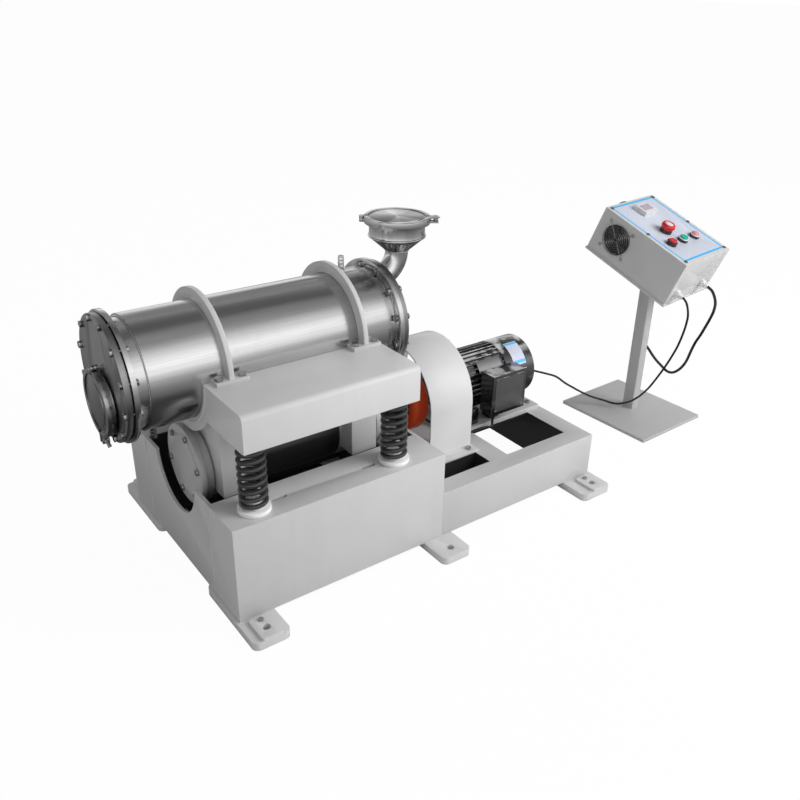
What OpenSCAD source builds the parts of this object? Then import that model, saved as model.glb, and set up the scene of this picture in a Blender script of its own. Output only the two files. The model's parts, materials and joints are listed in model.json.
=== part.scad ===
// Vibrating ball mill: a drum on a sprung saddle, shaken by an exciter shaft under it,
// with its motor on the same base and a free-standing control box beside it.
// Millimetres, +Z up, origin on the floor at the middle of the foot bolt pattern, +X to the motor.

/* [Base] */
// Length of the welded base
base_len = 1000; // [960:10:1100]
// Width of the welded base
base_w = 550; // [540:10:620]
// Length of the deep part under the drum
box_len = 511; // [500:1:530]
// Height of the deep part above the feet
box_h = 219; // [200:1:230]
// Height of the low part under the motor
frame_h = 115; // [100:1:120]
// Width of the two rails of the deep part
rail_w = 110; // [100:1:115]
// Width of the side members of the low part
side_w = 50; // [40:1:56]
// Plate thickness of the deep part
base_wall = 8; // [5:0.5:10]
// Plate thickness of the low part
frame_wall = 6; // [4:0.5:8]
// Radius of the notch in the end plate
notch_r = 100; // [94:1:110]

/* [Feet] */
// Thickness of the foot plates
foot_t = 18; // [12:1:24]
// Width of a corner foot plate
foot_w = 82; // [70:1:90]
// How far a foot plate reaches past the base
foot_out = 75; // [65:1:90]
// Full length of a foot plate
foot_len = 222; // [200:1:240]
// Lengthwise distance between the corner bolt holes
hole_dx = 930; // [900:5:960]
// How far the foot bolts stand out from the base
hole_out = 45; // [40:1:55]
// Radius of the bolt holes
hole_r = 9; // [6:0.5:11]
// Thickness of the pads on the corner feet
pad_t = 6; // [4:0.5:10]

/* [Springs] */
// Outer diameter of a suspension spring
spring_od = 59; // [54:1:62]
// Wire diameter of a suspension spring
wire_d = 9.5; // [8:0.5:10]
// Curls in a suspension spring
spring_turns = 10; // [8:1:10]
// Lengthwise place of the left springs
spring_x_left = -431; // [-434:1:-425]
// Lengthwise place of the right springs
spring_x_right = -98; // [-110:1:-96]
// Crosswise place of the springs
spring_y = 231; // [226:1:236]
// Thickness of a lower spring seat
seat_t = 10; // [8:1:14]

/* [Saddle] */
// Left end of the saddle
saddle_x0 = -466; // [-470:1:-464]
// Length of the saddle
saddle_len = 398; // [390:1:402]
// Half width of the saddle
saddle_half_w = 279; // [275:1:290]
// Height of the top of the saddle above the floor
saddle_z = 471; // [466:1:473]
// Depth of the saddle's side skirts
skirt_h = 78; // [60:1:90]
// Plate thickness of the saddle
saddle_t = 8; // [6:0.5:10]

/* [Drum] */
// Height of the drum's axis above the floor
drum_z = 477; // [474:1:482]
// Outer radius of the water jacket
jacket_r = 117; // [114:0.5:118]
// Outer radius of the drum shell
shell_r = 110; // [106:0.5:110]
// Wall of the drum shell
shell_t = 6; // [4:0.5:8]
// Length of the drum shell
drum_len = 602; // [590:1:610]
// Radius of the drum's flanges
flange_r = 132; // [130:1:136]
// Thickness of the drum's flanges
flange_t = 10; // [8:1:12]
// Radius of the end covers
cover_r = 127; // [126:1:129]
// Thickness of the end covers
cover_t = 12; // [8:1:14]
// Radius of the circle of cover bolts
cover_pcr = 119; // [118.5:0.5:120]
// Bolts round each end cover
cover_bolts_n = 12; // [8:1:16]

/* [Exciter] */
// Height of the exciter's axis above the floor
axis_z = 241; // [238:1:244]
// Outer radius of the exciter housing
housing_r = 80; // [78:1:82]
// Radius of the exciter's end covers
exciter_cover_r = 89; // [86:1:90]
// Radius of the exciter shaft
shaft_r = 20; // [16:0.5:24]
// Radius of the eccentric weights
weight_r = 60; // [50:1:64]

/* [Coupling] */
// Radius of the coupling's rubber tyre
tyre_r = 83; // [76:1:88]
// Width of the coupling's rubber tyre
tyre_w = 48; // [44:1:50]
// Half width of the coupling guard
guard_half_w = 137; // [130:1:142]
// Length of the coupling guard
guard_len = 127; // [120:1:128]
// Sheet thickness of the coupling guard
guard_t = 3.5; // [2:0.5:5]

/* [Motor] */
// Radius over the motor's fins
fin_r = 79; // [77:0.5:79]
// Length of the finned motor frame
motor_len = 149; // [145:1:155]
// Radius of the fan cover
fan_cover_r = 79.5; // [79.5:0.5:82]
// Length of the fan cover
fan_cover_len = 93; // [85:1:95]
// Cooling fins round the motor
fins_n = 36; // [24:2:40]
// Radius of the motor shaft
motor_shaft_r = 14; // [12:0.5:16]

/* [Openings with clamps] */
// Radius of the hopper's cylinder
hopper_r = 63; // [60:0.5:66]
// Radius of the discharge port's tube
port_r = 52; // [48:0.5:54]
// Height of the discharge port's axis above the floor
port_z = 430; // [428:1:434]
// Height of the hopper clamp's middle above the floor
hopper_clamp_z = 691; // [685:1:700]
// Distance of the hopper's axis from the feed cover
hopper_out = 55; // [50:1:60]

/* [Control stand] */
// Length of the stand's foot plate
stand_len = 265; // [240:5:280]
// Width of the stand's foot plate
stand_w = 309; // [290:5:320]
// Width of the square post
post_w = 34; // [30:1:38]
// Width of the control box
ctl_w = 231; // [225:1:240]
// Length of the control box along its slope
ctl_len = 283; // [275:1:290]
// Depth of the control box
ctl_d = 130; // [120:1:135]
// Slope of the control box
ctl_tilt = 21.3; // [15:0.1:25]
// Size of the square cooling fan
fan_size = 92; // [92:1:96]
// Diameter of the motor cable
motor_cable_d = 6; // [5:0.5:7]
// Diameter of the supply cord
supply_d = 8; // [6:0.5:8]

/* [Hidden] */

// Shared clearances and small values
gap = 0.3;
run_gap = 0.05;
cut = 1;
round_fn = 96;
small_fn = 32;

// Base
hole_dy = base_w + 2*hole_out;
base_x0 = -base_len/2;
base_x1 = base_len/2;
step_x = base_x0 + box_len;
box_top = foot_t + box_h;
frame_top = foot_t + frame_h;
slot_l = 26;
slot_w = 9;
seat_r = spring_od/2 + 4;
well_half = base_w/2 - rail_w;
tie_w = 41;
deck_half = 172;
cross_w = 58;
cross_share = 0.4184;
bed_half = 88;
bed_t = 10;
rear_w = 53;
cross_x = step_x + tie_w + cross_share*(base_x1 - rear_w - step_x - tie_w - cross_w);
foot_round = 15;
rear_foot_w = foot_w + 14;
mid_foot_w = 78;
pad_l = 65;
pad_w = 45;
pad_screw_d = 12;
pad_round = 5.6;

// Springs
wire_r = wire_d/2;
spring_mid_r = spring_od/2 - wire_r;
spring_z0 = box_top + seat_t;
upper_seat_t = 10;
spring_z1 = saddle_z - saddle_t - upper_seat_t;
spigot_r = spring_mid_r - wire_r - 2;
spigot_h = 15;
rings_per_turn = 8;

// Saddle
saddle_x1 = saddle_x0 + saddle_len;
skirt_z = saddle_z - skirt_h;
bend_r = 12;
cradle_ri = jacket_r + 0.5;
cradle_ro = cradle_ri + saddle_t;
cheek_r = jacket_r + 28;
cheek_z = skirt_z - 2;
cheek_t = 5;
gusset_half_w = 190;
upper_seat_r = spring_od/2 - 0.5;
leg_half = 120;
leg_z = 207;
leg_left_x = saddle_x0 + 21;
leg_left_w = 52;
leg_right_w = 65;
leg_right_x = saddle_x1 - leg_right_w;

// Exciter
housing_x0 = -448;
housing_x1 = -60;
housing_ri = housing_r - 12;
ex_flange_t = 16;
ex_flange_r = exciter_cover_r - 3;
ex_cover_t = 12;
bearing_ro = 45;
bearing_w = 30;
ex_screw_pcr = housing_r - 7;
ex_screws_n = 6;
ex_screw_turn = 48;
weight_w = 40;
weight_lip = 6;
shaft_tail = 6;
weight_x_left = -400;
weight_x_right = -150;

// Coupling, from the exciter's side to the motor's
hub_r = 34;
hub_flange_r = 60;
hub_flange_t = 10;
tyre_x = 70.3;
ex_hub_x = 30;
motor_hub_len = 37;
tyre_bore_r = 40;
tyre_round = 14;
guard_x = step_x + 67;
guard_arch_z = 248;
guard_flange_w = 35;

// Motor
motor_x = 226;
shield_t = 20;
shield_lip = 4;
motor_foot_in = 24;
motor_foot_l = 30;
motor_foot_w = 32;
motor_foot_h = 44;
motor_foot_y = 62;
motor_screw_in = 26;
fin_h = 6;
fin_t = 3.2;
stator_r = 62;
rotor_r = 40.4;
core_len = 100;
core_x = 250;
m_bearing_r = 26;
m_bearing_w = 14;
rear_shield_t = 16;
m_fan_r = 62;
m_fan_hub_r = 24;
m_fan_w = 24;
m_fan_t = 3;
m_fan_blades = 7;
fan_cover_wall = 2;
grille_share = 0.19;
grille_hole_r = 5;
fan_cover_x = motor_x + motor_len + gap;
motor_plate_t = 12;
motor_plate_x = 225;
motor_plate_len = 262;
tb_x = 279;
tb_len = 109;
tb_z = 187;
tb_h = 107;
tb_y0 = -82;
tb_d = 43;
tb_lid_t = 4;
tb_wall = 3;
tb_neck_x = 14;
tb_neck_half = 34;
tb_neck_in = 22;
tb_lid_out = 1;
tb_gland_x = 306;
tb_gland_y = -104;

// Drum, from the discharge end to the feed end
drum_x0 = -drum_len;
jacket_x0 = -566;
jacket_len = 542;
jacket_t = 3;
gasket_t = 2;
bolt_r = 4;
bolt_head_r = 7.4;
bolt_head_h = 5.3;
bolt_nut_h = 6.5;
ball_r = 14;
balls_across = 5;
balls_along = 12;
ball_x0 = drum_x0*4/5;
strap_ri = jacket_r + 0.5;
strap_ro = 142;
strap_t = 10.5;
strap_x_left = -416;
strap_x_right = -108;
strap_foot_l = 68;
strap_foot_y = 147;
strap_foot_w = 58.8;
strap_foot_t = 8;
strap_head_r = 8.9;
strap_head_h = 6.4;
strap_bolt_dx = 24;
strap_bolt_y = 134;
barb_top_x = -80;
barb_low_x = -533;
barb_r = 6;
barb_l = 40;
barb_nut_r = 9;
barb_ring_r = 7.5;
barb_bore_r = 3.6;
barb_rings = 3;
barb_first = 15.6;
barb_step = 7.8;

// Feed hopper and its elbow
elbow_r = 26;
elbow_t = 2;
elbow_z = 565;
feed_face_x = gasket_t + cover_t;
hopper_x = feed_face_x + hopper_out;
elbow_top_z = elbow_z + hopper_out;
cone_top_z = 652;
hopper_t = 2.5;

// Clamps: two ferrules and a gasket held by two half rings
ferrule_t = 3.5;
clamp_gasket_t = 1.5;
lip_t = 2.5;
lip_in = 3;
clamp_wall = 6;
hopper_ferrule_out = 5;
port_ferrule_out = 10;
stack_t = 2*ferrule_t + clamp_gasket_t + gap;
clamp_h = stack_t + 2*lip_t + 2*gap;
pin_out = 5;
pin_r = 2.5;
knuckle_r = 5.5;
ring_gap_deg = 5;
lug_out = 18;
lug_t = 6;
lug_y = 3;
rod_r = 2.5;
pivot_r = 2;
eye_r = 4.5;
rod_out = 12;
eye_half = 3;
slot_half = 2.8;
bolt_len = 38;
nut_r = 5;
nut_h = 9;
cap_step = 6;
hopper_turn = 145;
discharge_neck = 12;
hopper_ferrule_r = hopper_r + hopper_ferrule_out;
port_ferrule_r = port_r + port_ferrule_out;

// Control stand and box
stand_x = 903;
stand_y = -78;
stand_t = 10;
stand_turn = 1.8;
post_x = 912;
post_y = -70;
post_wall = 3;
ctl_at = [918, -75, 509.5];
ctl_turn = 7.5;
ctl_wall = 2;
panel_t = 3;
panel_screw_r = 5;
panel_screw_in = 12;
back_t = 6;
back_lip = 3;
ctl_hw = ctl_w/2;
ctl_hl = ctl_len/2;
ctl_hd = ctl_d/2;
panel_z = ctl_hd - panel_t;
head_plate = 110;
head_plate_t = 6;
fan_at = [70, 4];
fan_depth = 25;
fan_bore = fan_size/2 - 4;
fan_rotor_r = fan_bore - 1.5;
fan_hub_r = 18;
fan_hub_h = 16;
fan_blades_n = 7;
fan_blade_t = 2;
fan_arm_t = 3;
fan_pin_r = 2;
guard_wire = 1.2;
guard_rings = 7;
guard_ring_step = 6;
guard_tab_r = 4;
guard_hub_r = 4.5;
fan_screw_pcr = fan_size*0.6;
inv_w = ctl_w*0.39;
inv_l = ctl_len*0.495;
inv_h = ctl_d*0.63;
inv_ribs_n = 9;
inv_rib_w = 6;
inv_rib_h = 3;
stop_at = [-27, -8];
red_at = [-69, -57];
green_at = [-11, -57];
lamp_at = [50, -57];
display_at = [0, 87];
display_l = 58;
display_w = 43;
display_h = 13;
button_r = 10.8;
button_tail = 10;
button_rise = 4;
lens_rise = 1;
lens_top_r = 7.6;
lens_dome = 3;
bezel_r = 14.5;
bezel_h = 10;
stop_r = 20;
stop_stem_r = 15;
stop_rise = 6;
stop_h = 8;
stop_dome = 4;
stop_top_r = 15.2;
collar_r = 17;
collar_h = 8;
gland_nut_r = 11.5;
gland_nose_r = 9;
gland_hole_r = 6;
gland_tip_t = 2;
gland_base = 8;
gland_nose = 16;
gland_len = gland_base + gland_nose;
gland1_at = [-80, -34];
gland2_at = [53, -32];

// Cords: route points on the floor plan and height, chosen by hand
motor_cable_r = motor_cable_d/2;
supply_r = supply_d/2;
gland_in = 6;
clip_at = [430, 77, 205];
clip_l = 12;
clip_w = 14;
clip_t = 3;
motor_route = [[306, -104, 150], [300, -110, 146], [288, -120, 150], [270, -126, 158],
    [245, -127, 162], [220, -123, 158], [200, -112, 148], [190, -90, 141], [188, -40, 139],
    [188, 40, 139], [192, 90, 141], [206, 108, 146], [250, 110, 160], [310, 98, 180],
    [370, 84, 198], [410, 77, 205], [450, 77, 205], [485, 66, 206], [520, 35, 201],
    [553, 2, 193], [595, -5, 176], [640, -3, 154], [684, 0, 121], [720, 2, 97],
    [755, 2, 74], [805, 0, 44], [840, -22, 30], [860, -58, 27], [870, -97, 48],
    [866, -128, 77], [865, -150, 105], [864, -170, 137], [867, -200, 200], [865, -226, 261],
    [862, -238, 296], [857, -247, 324], [852, -254, 350], [848, -258, 376], [848, -254, 395],
    [855, -242, 408]];
supply_route = [[988, -229, 410], [981, -247, 389], [974, -252, 366], [974, -246, 342],
    [977, -236, 317], [982, -220, 280], [985, -206, 251], [996, -190, 216],
    [1007, -176, 183], [1013, -164, 159], [1017, -148, 136], [1018, -128, 118],
    [1020, -105, 113], [1016, -84, 125], [1007, -66, 142], [990, -52, 170], [966, -45, 206],
    [932, -45, 290], [920, -46, 340], [916, -46, 390], [910, -32, 425],
    [905, 0, 438], [902, 38, 449], [907, 72, 468]];

// Coil of the supply cord, hung on the back of the control box
coil_rings = 24;
coil_layers = 4;
coil_turns_per_layer = 2;
coil_step = supply_d + 0.6;
coil_inner_r = 38;
coil_at = [50, -25];
coil_stand_off = 12;
coil_last = 7.75;
peg_r = 5;
peg_head_r = 9;
peg_head_t = 3;
plug_neck_l = 14;
plug_body_r = 13;
plug_body_l = 24;
plug_face_r = 15;
plug_face_l = 6;
plug_pin_r = 2.4;
plug_pin_l = 19;
plug_pin_x = 9.5;

// General shapes

// A disc or bar along Z
module rod(r, h, fn = round_fn) cylinder(r = r, h = h, $fn = fn);

// A ring along Z
module ring(ro, ri, h) {
    difference() {
        rod(ro, h);
        translate([0, 0, -cut]) rod(ri, h + 2*cut);
    }
}

// Turns a child drawn along Z to lie along X, starting at x
module along_x(x, z = 0, y = 0) translate([x, y, z]) rotate([90, 0, 90]) children();

// A box between two corners
module span(lo, hi) translate(lo) cube([hi[0] - lo[0], hi[1] - lo[1], hi[2] - lo[2]]);

// An open-bottomed welded channel between two corners
module channel(lo, hi, t) {
    difference() {
        span(lo, hi);
        span([lo[0] + t, lo[1] + t, lo[2] - cut], [hi[0] - t, hi[1] - t, hi[2] - t]);
    }
}

// A flat plate centred on the origin with round corners
module round_plate(l, w, t, r) {
    translate([-l/2 + r, -w/2, 0]) cube([l - 2*r, w, t]);
    translate([-l/2, -w/2 + r, 0]) cube([l, w - 2*r, t]);
    for (sx = [-1, 1], sy = [-1, 1])
        translate([sx*(l/2 - r), sy*(w/2 - r), 0]) rod(r, t, small_fn);
}

// A hexagon head on a shank that points down
module hex_screw(head_r, head_h, shank_r, shank_l) {
    rod(head_r, head_h, 6);
    translate([0, 0, -shank_l]) rod(shank_r, shank_l + head_h/2, small_fn);
}

// Swept tubes

function unit(v) = v/norm(v);
function tangents(p) = [for (i = [0:len(p) - 1])
    unit(p[min(i + 1, len(p) - 1)] - p[max(i - 1, 0)])];
function side_of(n, t) = unit(n - (n*t)*t);
function carried(t, n, i = 0, out = []) = i == len(t) ? out :
    let (m = side_of(n, t[i])) carried(t, m, i + 1, concat(out, [m]));
function first_side(t) = abs(t[2]) < 0.9 ? side_of([0, 0, 1], t) : side_of([1, 0, 0], t);

// A closed tube along a list of points
module swept_tube(path, r, sides) {
    t = tangents(path);
    n = carried(t, first_side(t[0]));
    rings = len(path);
    points = [for (i = [0:rings - 1]) let (b = cross(t[i], n[i]))
        for (k = [0:sides - 1]) path[i] + r*(cos(360*k/sides)*n[i] + sin(360*k/sides)*b)];
    walls = [for (i = [0:rings - 2]) for (k = [0:sides - 1])
        let (a = i*sides + k, b = i*sides + (k + 1)%sides)
        for (f = [[a, a + sides, b], [b, a + sides, b + sides]]) f];
    last = (rings - 1)*sides;
    caps = [for (k = [1:sides - 2])
        for (f = [[0, k, k + 1], [last, last + k + 1, last + k]]) f];
    polyhedron(points = points, faces = concat(walls, caps));
}

// A smooth curve through the points, with even steps between neighbours
function curve_at(a, b, c, d, u) = 0.5*((2*b) + (c - a)*u + (2*a - 5*b + 4*c - d)*u*u
    + (3*b - a - 3*c + d)*u*u*u);
function smooth_path(p, steps) = concat([for (i = [0:len(p) - 2]) for (s = [0:steps - 1])
    curve_at(p[max(i - 1, 0)], p[i], p[i + 1], p[min(i + 2, len(p) - 1)], s/steps)],
    [p[len(p) - 1]]);

// The least gap between parts of a wound tube that are over half a turn apart
function least_gap(p, apart, d) = min([for (i = [0:len(p) - apart - 1])
    for (j = [i + apart:len(p) - 1]) norm(p[i] - p[j])]) - d;

// Base

// Deep welded box: two rails, an end plate with a notch, and the plate at the step
module front_box() color("gainsboro") {
    for (s = [-1, 1]) mirror([0, s < 0 ? 0 : 1, 0]) difference() {
        channel([base_x0, -base_w/2, foot_t], [step_x, -well_half, box_top], base_wall);
        for (x = [spring_x_left, spring_x_right])
            rail_slot(x + (x == spring_x_left ? 1 : -1)*(seat_r + slot_l));
    }
    for (x = [base_x0, step_x - base_wall]) difference() {
        span([x, -well_half, foot_t], [x + base_wall, well_half, box_top]);
        along_x(x - cut, axis_z) rod(notch_r, base_wall + 2*cut);
    }
}

// Slot through the top of the near rail
module rail_slot(x) {
    translate([x, -spring_y + seat_t, box_top - base_wall - cut]) {
        translate([-slot_l/2, -slot_w/2, 0]) cube([slot_l, slot_w, base_wall + 2*cut]);
        for (s = [-1, 1]) translate([s*slot_l/2, 0, 0]) rod(slot_w/2, base_wall + 2*cut, small_fn);
    }
}

// Low welded frame under the motor, made of open-bottomed channels
module rear_frame() color("gainsboro") {
    in_y = base_w/2 - side_w;
    for (s = [-1, 1]) mirror([0, s < 0 ? 0 : 1, 0])
        channel([step_x, -base_w/2, foot_t], [base_x1, -in_y, frame_top], frame_wall);
    channel([step_x, -in_y, foot_t], [step_x + tie_w, in_y, frame_top], frame_wall);
    channel([step_x + tie_w, -deck_half, foot_t], [cross_x, deck_half, frame_top], frame_wall);
    channel([cross_x, -in_y, foot_t], [cross_x + cross_w, in_y, frame_top], frame_wall);
    span([cross_x + cross_w, -bed_half, frame_top - bed_t],
        [base_x1 - rear_w, bed_half, frame_top]);
    channel([base_x1 - rear_w, -in_y, foot_t], [base_x1, in_y, frame_top], frame_wall);
}

// One foot plate with its bolt hole, drawn for the near side
module foot(x, w, shift, pad) {
    in_y = base_w/2 + foot_out - foot_len;
    difference() {
        translate([x + shift, -in_y - foot_len/2, 0]) round_plate(w, foot_len, foot_t, foot_round);
        translate([x, -hole_dy/2, -cut]) rod(hole_r, foot_t + 2*cut);
    }
    if (pad) difference() {
        translate([x, -base_w/2 - foot_out + pad_l/2, foot_t])
            round_plate(pad_w, pad_l, pad_t, pad_round);
        translate([x, -hole_dy/2, 0]) rod(hole_r, foot_t + pad_t + cut);
        translate([x, -pad_screw_y(), 0]) rod(pad_screw_d/4 + gap, foot_t + pad_t + cut, small_fn);
    }
}

function pad_screw_y() = base_w/2 + foot_out - pad_l + pad_screw_d;

// Six foot plates, and the levelling pads on the corner ones
module foot_plates() color("silver") {
    for (s = [-1, 1]) mirror([0, s < 0 ? 0 : 1, 0]) {
        foot(-hole_dx/2, foot_w, 0, true);
        foot(0, mid_foot_w, 0, false);
        foot(hole_dx/2, rear_foot_w, (foot_w - rear_foot_w)/2, true);
    }
}

// Places of the four springs
function spring_places() = [for (x = [spring_x_left, spring_x_right]) for (s = [-1, 1])
    [x, s*spring_y]];

// A round seat with a spigot that centres the spring
module spring_seat(r, t) {
    rod(r, t);
    translate([0, 0, t]) rod(spigot_r, spigot_h);
}

module lower_spring_seats() color("white") {
    for (p = spring_places()) translate([p[0], p[1], box_top])
        spring_seat(seat_r, seat_t);
}

module upper_spring_seats() color("white") {
    for (p = spring_places()) translate([p[0], p[1], saddle_z - saddle_t])
        mirror([0, 0, 1]) spring_seat(upper_seat_r, upper_seat_t);
}

// Points along one spring, with straight ends one wire diameter long
function spring_path() = let (z0 = spring_z0 + wire_d + wire_r, z1 = spring_z1 - wire_d - wire_r,
    n = spring_turns*rings_per_turn) concat(
    [[spring_mid_r, 0, spring_z0], [spring_mid_r, 0, spring_z0 + wire_d]],
    [for (i = [1:n]) let (a = 360*i/rings_per_turn)
        [spring_mid_r*cos(a), spring_mid_r*sin(a), z0 + (z1 - z0)*i/n]],
    [[spring_mid_r*cos(360/rings_per_turn), spring_mid_r*sin(360/rings_per_turn), z1 + wire_r],
     [spring_mid_r*cos(360/rings_per_turn), spring_mid_r*sin(360/rings_per_turn), spring_z1]]);

module springs(side) color("#222222") {
    path = spring_path();
    echo(spring_least_gap = least_gap(path, rings_per_turn/2 + 1, wire_d));
    for (p = spring_places()) if (p[1]*side > 0)
        translate([p[0], p[1], 0]) swept_tube(path, wire_r, 6);
}

module springs_near() springs(-1);
module springs_far() springs(1);

// Arched sheet guard over the coupling, with flanges that screw to the deck
module coupling_guard() color("gainsboro") {
    ri = guard_half_w - guard_t;
    along_x(guard_x, guard_arch_z) difference() {
        ring(guard_half_w, ri, guard_len);
        translate([-2*guard_half_w, -2*guard_half_w, -cut])
            cube([4*guard_half_w, 2*guard_half_w, guard_len + 2*cut]);
    }
    for (s = [-1, 1]) mirror([0, s < 0 ? 0 : 1, 0]) {
        span([guard_x, -guard_half_w, frame_top], [guard_x + guard_len, -ri, guard_arch_z]);
        difference() {
            span([guard_x, -guard_half_w - guard_flange_w, frame_top],
                [guard_x + guard_len, -ri, frame_top + guard_t]);
            for (x = guard_screw_x()) translate([x, -guard_screw_y(), frame_top - cut])
                rod(bolt_r + gap, guard_t + 2*cut, small_fn);
        }
    }
}

function guard_screw_y() = guard_half_w + guard_flange_w/2;
function guard_screw_x() = [guard_x + guard_len/6, guard_x + guard_len*5/6];

// Screws of the guard, the pads, the motor plate, the terminal box and the panel
module frame_screws() color("silver") {
    for (s = [-1, 1]) {
        for (x = guard_screw_x()) translate([x, s*guard_screw_y(), frame_top + guard_t])
            hex_screw(bolt_head_r, bolt_head_h, bolt_r, guard_t);
        for (x = [-hole_dx/2, hole_dx/2]) translate([x, s*pad_screw_y(), foot_t + pad_t])
            hex_screw(pad_screw_d/2, pad_screw_d/3, pad_screw_d/4, pad_t);
        for (x = motor_screw_x()) translate([x, s*motor_screw_y(), frame_top + motor_plate_t])
            hex_screw(bolt_head_r, bolt_head_h, bolt_r, motor_plate_t);
        for (x = [tb_x + tb_len/10, tb_x + tb_len*9/10])
            translate([x, tb_y0 - tb_d - tb_lid_t, tb_z + tb_h/2 + s*tb_h*0.4])
                rotate([90, 0, 0]) rod(tb_lid_t, tb_lid_t/2, small_fn);
    }
    in_box() for (p = panel_screws()) translate([p[0], p[1], ctl_hd])
        rod(panel_screw_r, panel_screw_r/2, small_fn);
}

function motor_screw_x() = [motor_plate_x + motor_plate_t, motor_plate_x + motor_plate_len
    - motor_plate_t - pad_t];
function motor_screw_y() = bed_half - motor_screw_in;
function panel_screws() = [for (sx = [-1, 1]) for (sy = [-1, 0, 1])
    [sx*(ctl_hw - panel_screw_in), sy*(ctl_hl - panel_screw_in)]];

// Motor

module motor_plate() color("silver") difference() {
    span([motor_plate_x, -bed_half, frame_top],
        [motor_plate_x + motor_plate_len, bed_half, frame_top + motor_plate_t]);
    for (s = [-1, 1]) for (x = motor_screw_x())
        translate([x, s*motor_screw_y(), frame_top - cut])
            rod(bolt_r + gap, motor_plate_t + 2*cut, small_fn);
}

// Outline of the finned frame: a root circle with square fins
module fin_outline() {
    root = fin_r - fin_h;
    half = asin(fin_t/2/fin_r);
    polygon([for (i = [0:fins_n - 1]) let (a = 360*i/fins_n)
        for (q = [[-half, root], [-half, fin_r], [half, fin_r], [half, root]])
            q[1]*[cos(a + q[0]), sin(a + q[0])]]);
}

// Finned frame with its two end shields and its feet
module motor_frame() color("#2a2a2a") {
    feet_z = frame_top + motor_plate_t;
    difference() {
        union() {
            along_x(motor_x, axis_z) linear_extrude(motor_len) fin_outline();
            along_x(motor_x - shield_t, axis_z) rod(fin_r - 1, shield_t);
            along_x(motor_x + motor_len, axis_z)
                rod(fan_cover_r - fan_cover_wall - gap, rear_shield_t);
            for (s = [-1, 1]) for (x = motor_foot_x())
                span([x, s*motor_foot_y - motor_foot_w/2, feet_z],
                    [x + motor_foot_l, s*motor_foot_y + motor_foot_w/2, feet_z + motor_foot_h]);
        }
        along_x(motor_x + shield_t/2, axis_z) rod(stator_r, motor_len - shield_t/2 - cut);
        along_x(motor_x - shield_t - cut, axis_z)
            rod(motor_shaft_r + 2, motor_len + shield_t + rear_shield_t + 2*cut);
        along_x(motor_x - shield_t + shield_lip, axis_z) rod(m_bearing_r + run_gap, shield_t);
        along_x(motor_x + motor_len - 2*cut, axis_z) rod(m_bearing_r + run_gap, m_bearing_w);
    }
}

// Foot blocks of the motor, one near each end of the finned frame
function motor_foot_x() = [motor_x + motor_foot_in,
    motor_x + motor_len - motor_foot_in - motor_foot_l];

module motor_core() color("#8a4b2a")
    along_x(core_x, axis_z) ring(stator_r - gap, rotor_r + 2*gap, core_len);

module motor_bearings() color("silver") {
    along_x(motor_x - shield_t + shield_lip, axis_z)
        ring(m_bearing_r, motor_shaft_r + run_gap, m_bearing_w);
    along_x(motor_x + motor_len - 2*cut, axis_z)
        ring(m_bearing_r, motor_shaft_r + run_gap, m_bearing_w - gap);
}

// Rotor pack, shaft and cooling fan, pressed together
module motor_rotor() color("#777777") {
    shaft_x0 = tyre_x + tyre_w + gap;
    shaft_x1 = fan_cover_x + fan_cover_len - rear_shield_t;
    along_x(shaft_x0, axis_z) rod(motor_shaft_r, shaft_x1 - shaft_x0);
    along_x(core_x, axis_z) rod(rotor_r, core_len);
    fan_x = fan_cover_x + rear_shield_t + 2*m_fan_t;
    along_x(fan_x, axis_z) {
        rod(m_fan_hub_r, m_fan_w);
        rod(m_fan_r, m_fan_t);
        for (i = [0:m_fan_blades - 1]) rotate([0, 0, i*360/m_fan_blades])
            translate([m_fan_hub_r - cut, -m_fan_t/2, 0])
                cube([m_fan_r - m_fan_hub_r, m_fan_t, m_fan_w - cut]);
    }
}

// Pressed fan cover with a grille of round holes
module motor_fan_cover() color("#262626") along_x(fan_cover_x, axis_z) {
    ring(fan_cover_r, fan_cover_r - fan_cover_wall, fan_cover_len);
    translate([0, 0, fan_cover_len - fan_cover_wall]) difference() {
        rod(fan_cover_r - fan_cover_wall/2, fan_cover_wall);
        for (row = [1:4]) for (i = [0:6*row - 1]) rotate([0, 0, i*60/row])
            translate([row*fan_cover_r*grille_share, 0, -cut])
                rod(grille_hole_r, fan_cover_wall + 2*cut, small_fn);
    }
}

// Terminal box on the near side of the motor, with its lid
module terminal_box() color("#2a2a2a") {
    difference() {
        union() {
            span([tb_x, tb_y0 - tb_d, tb_z], [tb_x + tb_len, tb_y0, tb_z + tb_h]);
            span([tb_x + tb_neck_x, tb_y0 - cut, axis_z - tb_neck_half],
                [tb_x + tb_neck_x + 2*tb_neck_half, tb_y0 + tb_neck_in, axis_z + tb_neck_half]);
        }
        span([tb_x + tb_wall, tb_y0 - tb_d - cut, tb_z + tb_wall],
            [tb_x + tb_len - tb_wall, tb_y0 - tb_wall, tb_z + tb_h - tb_wall]);
        along_x(tb_x, axis_z) rod(fin_r + gap, tb_len);
        translate([tb_gland_x, tb_gland_y, tb_z - cut]) rod(motor_cable_r + 1, tb_wall + 2*cut);
    }
    span([tb_x - tb_lid_out, tb_y0 - tb_d - tb_lid_t, tb_z - tb_lid_out],
        [tb_x + tb_len + tb_lid_out, tb_y0 - tb_d, tb_z + tb_h + tb_lid_out]);
}

// Hub on the motor shaft, with the flange that carries the tyre
module motor_hub() color("#444444") along_x(tyre_x + tyre_w + gap, axis_z) difference() {
    union() {
        rod(hub_r, motor_hub_len);
        rod(hub_flange_r, hub_flange_t);
    }
    translate([0, 0, -cut]) rod(motor_shaft_r + run_gap, motor_hub_len + 2*cut);
}

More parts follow.
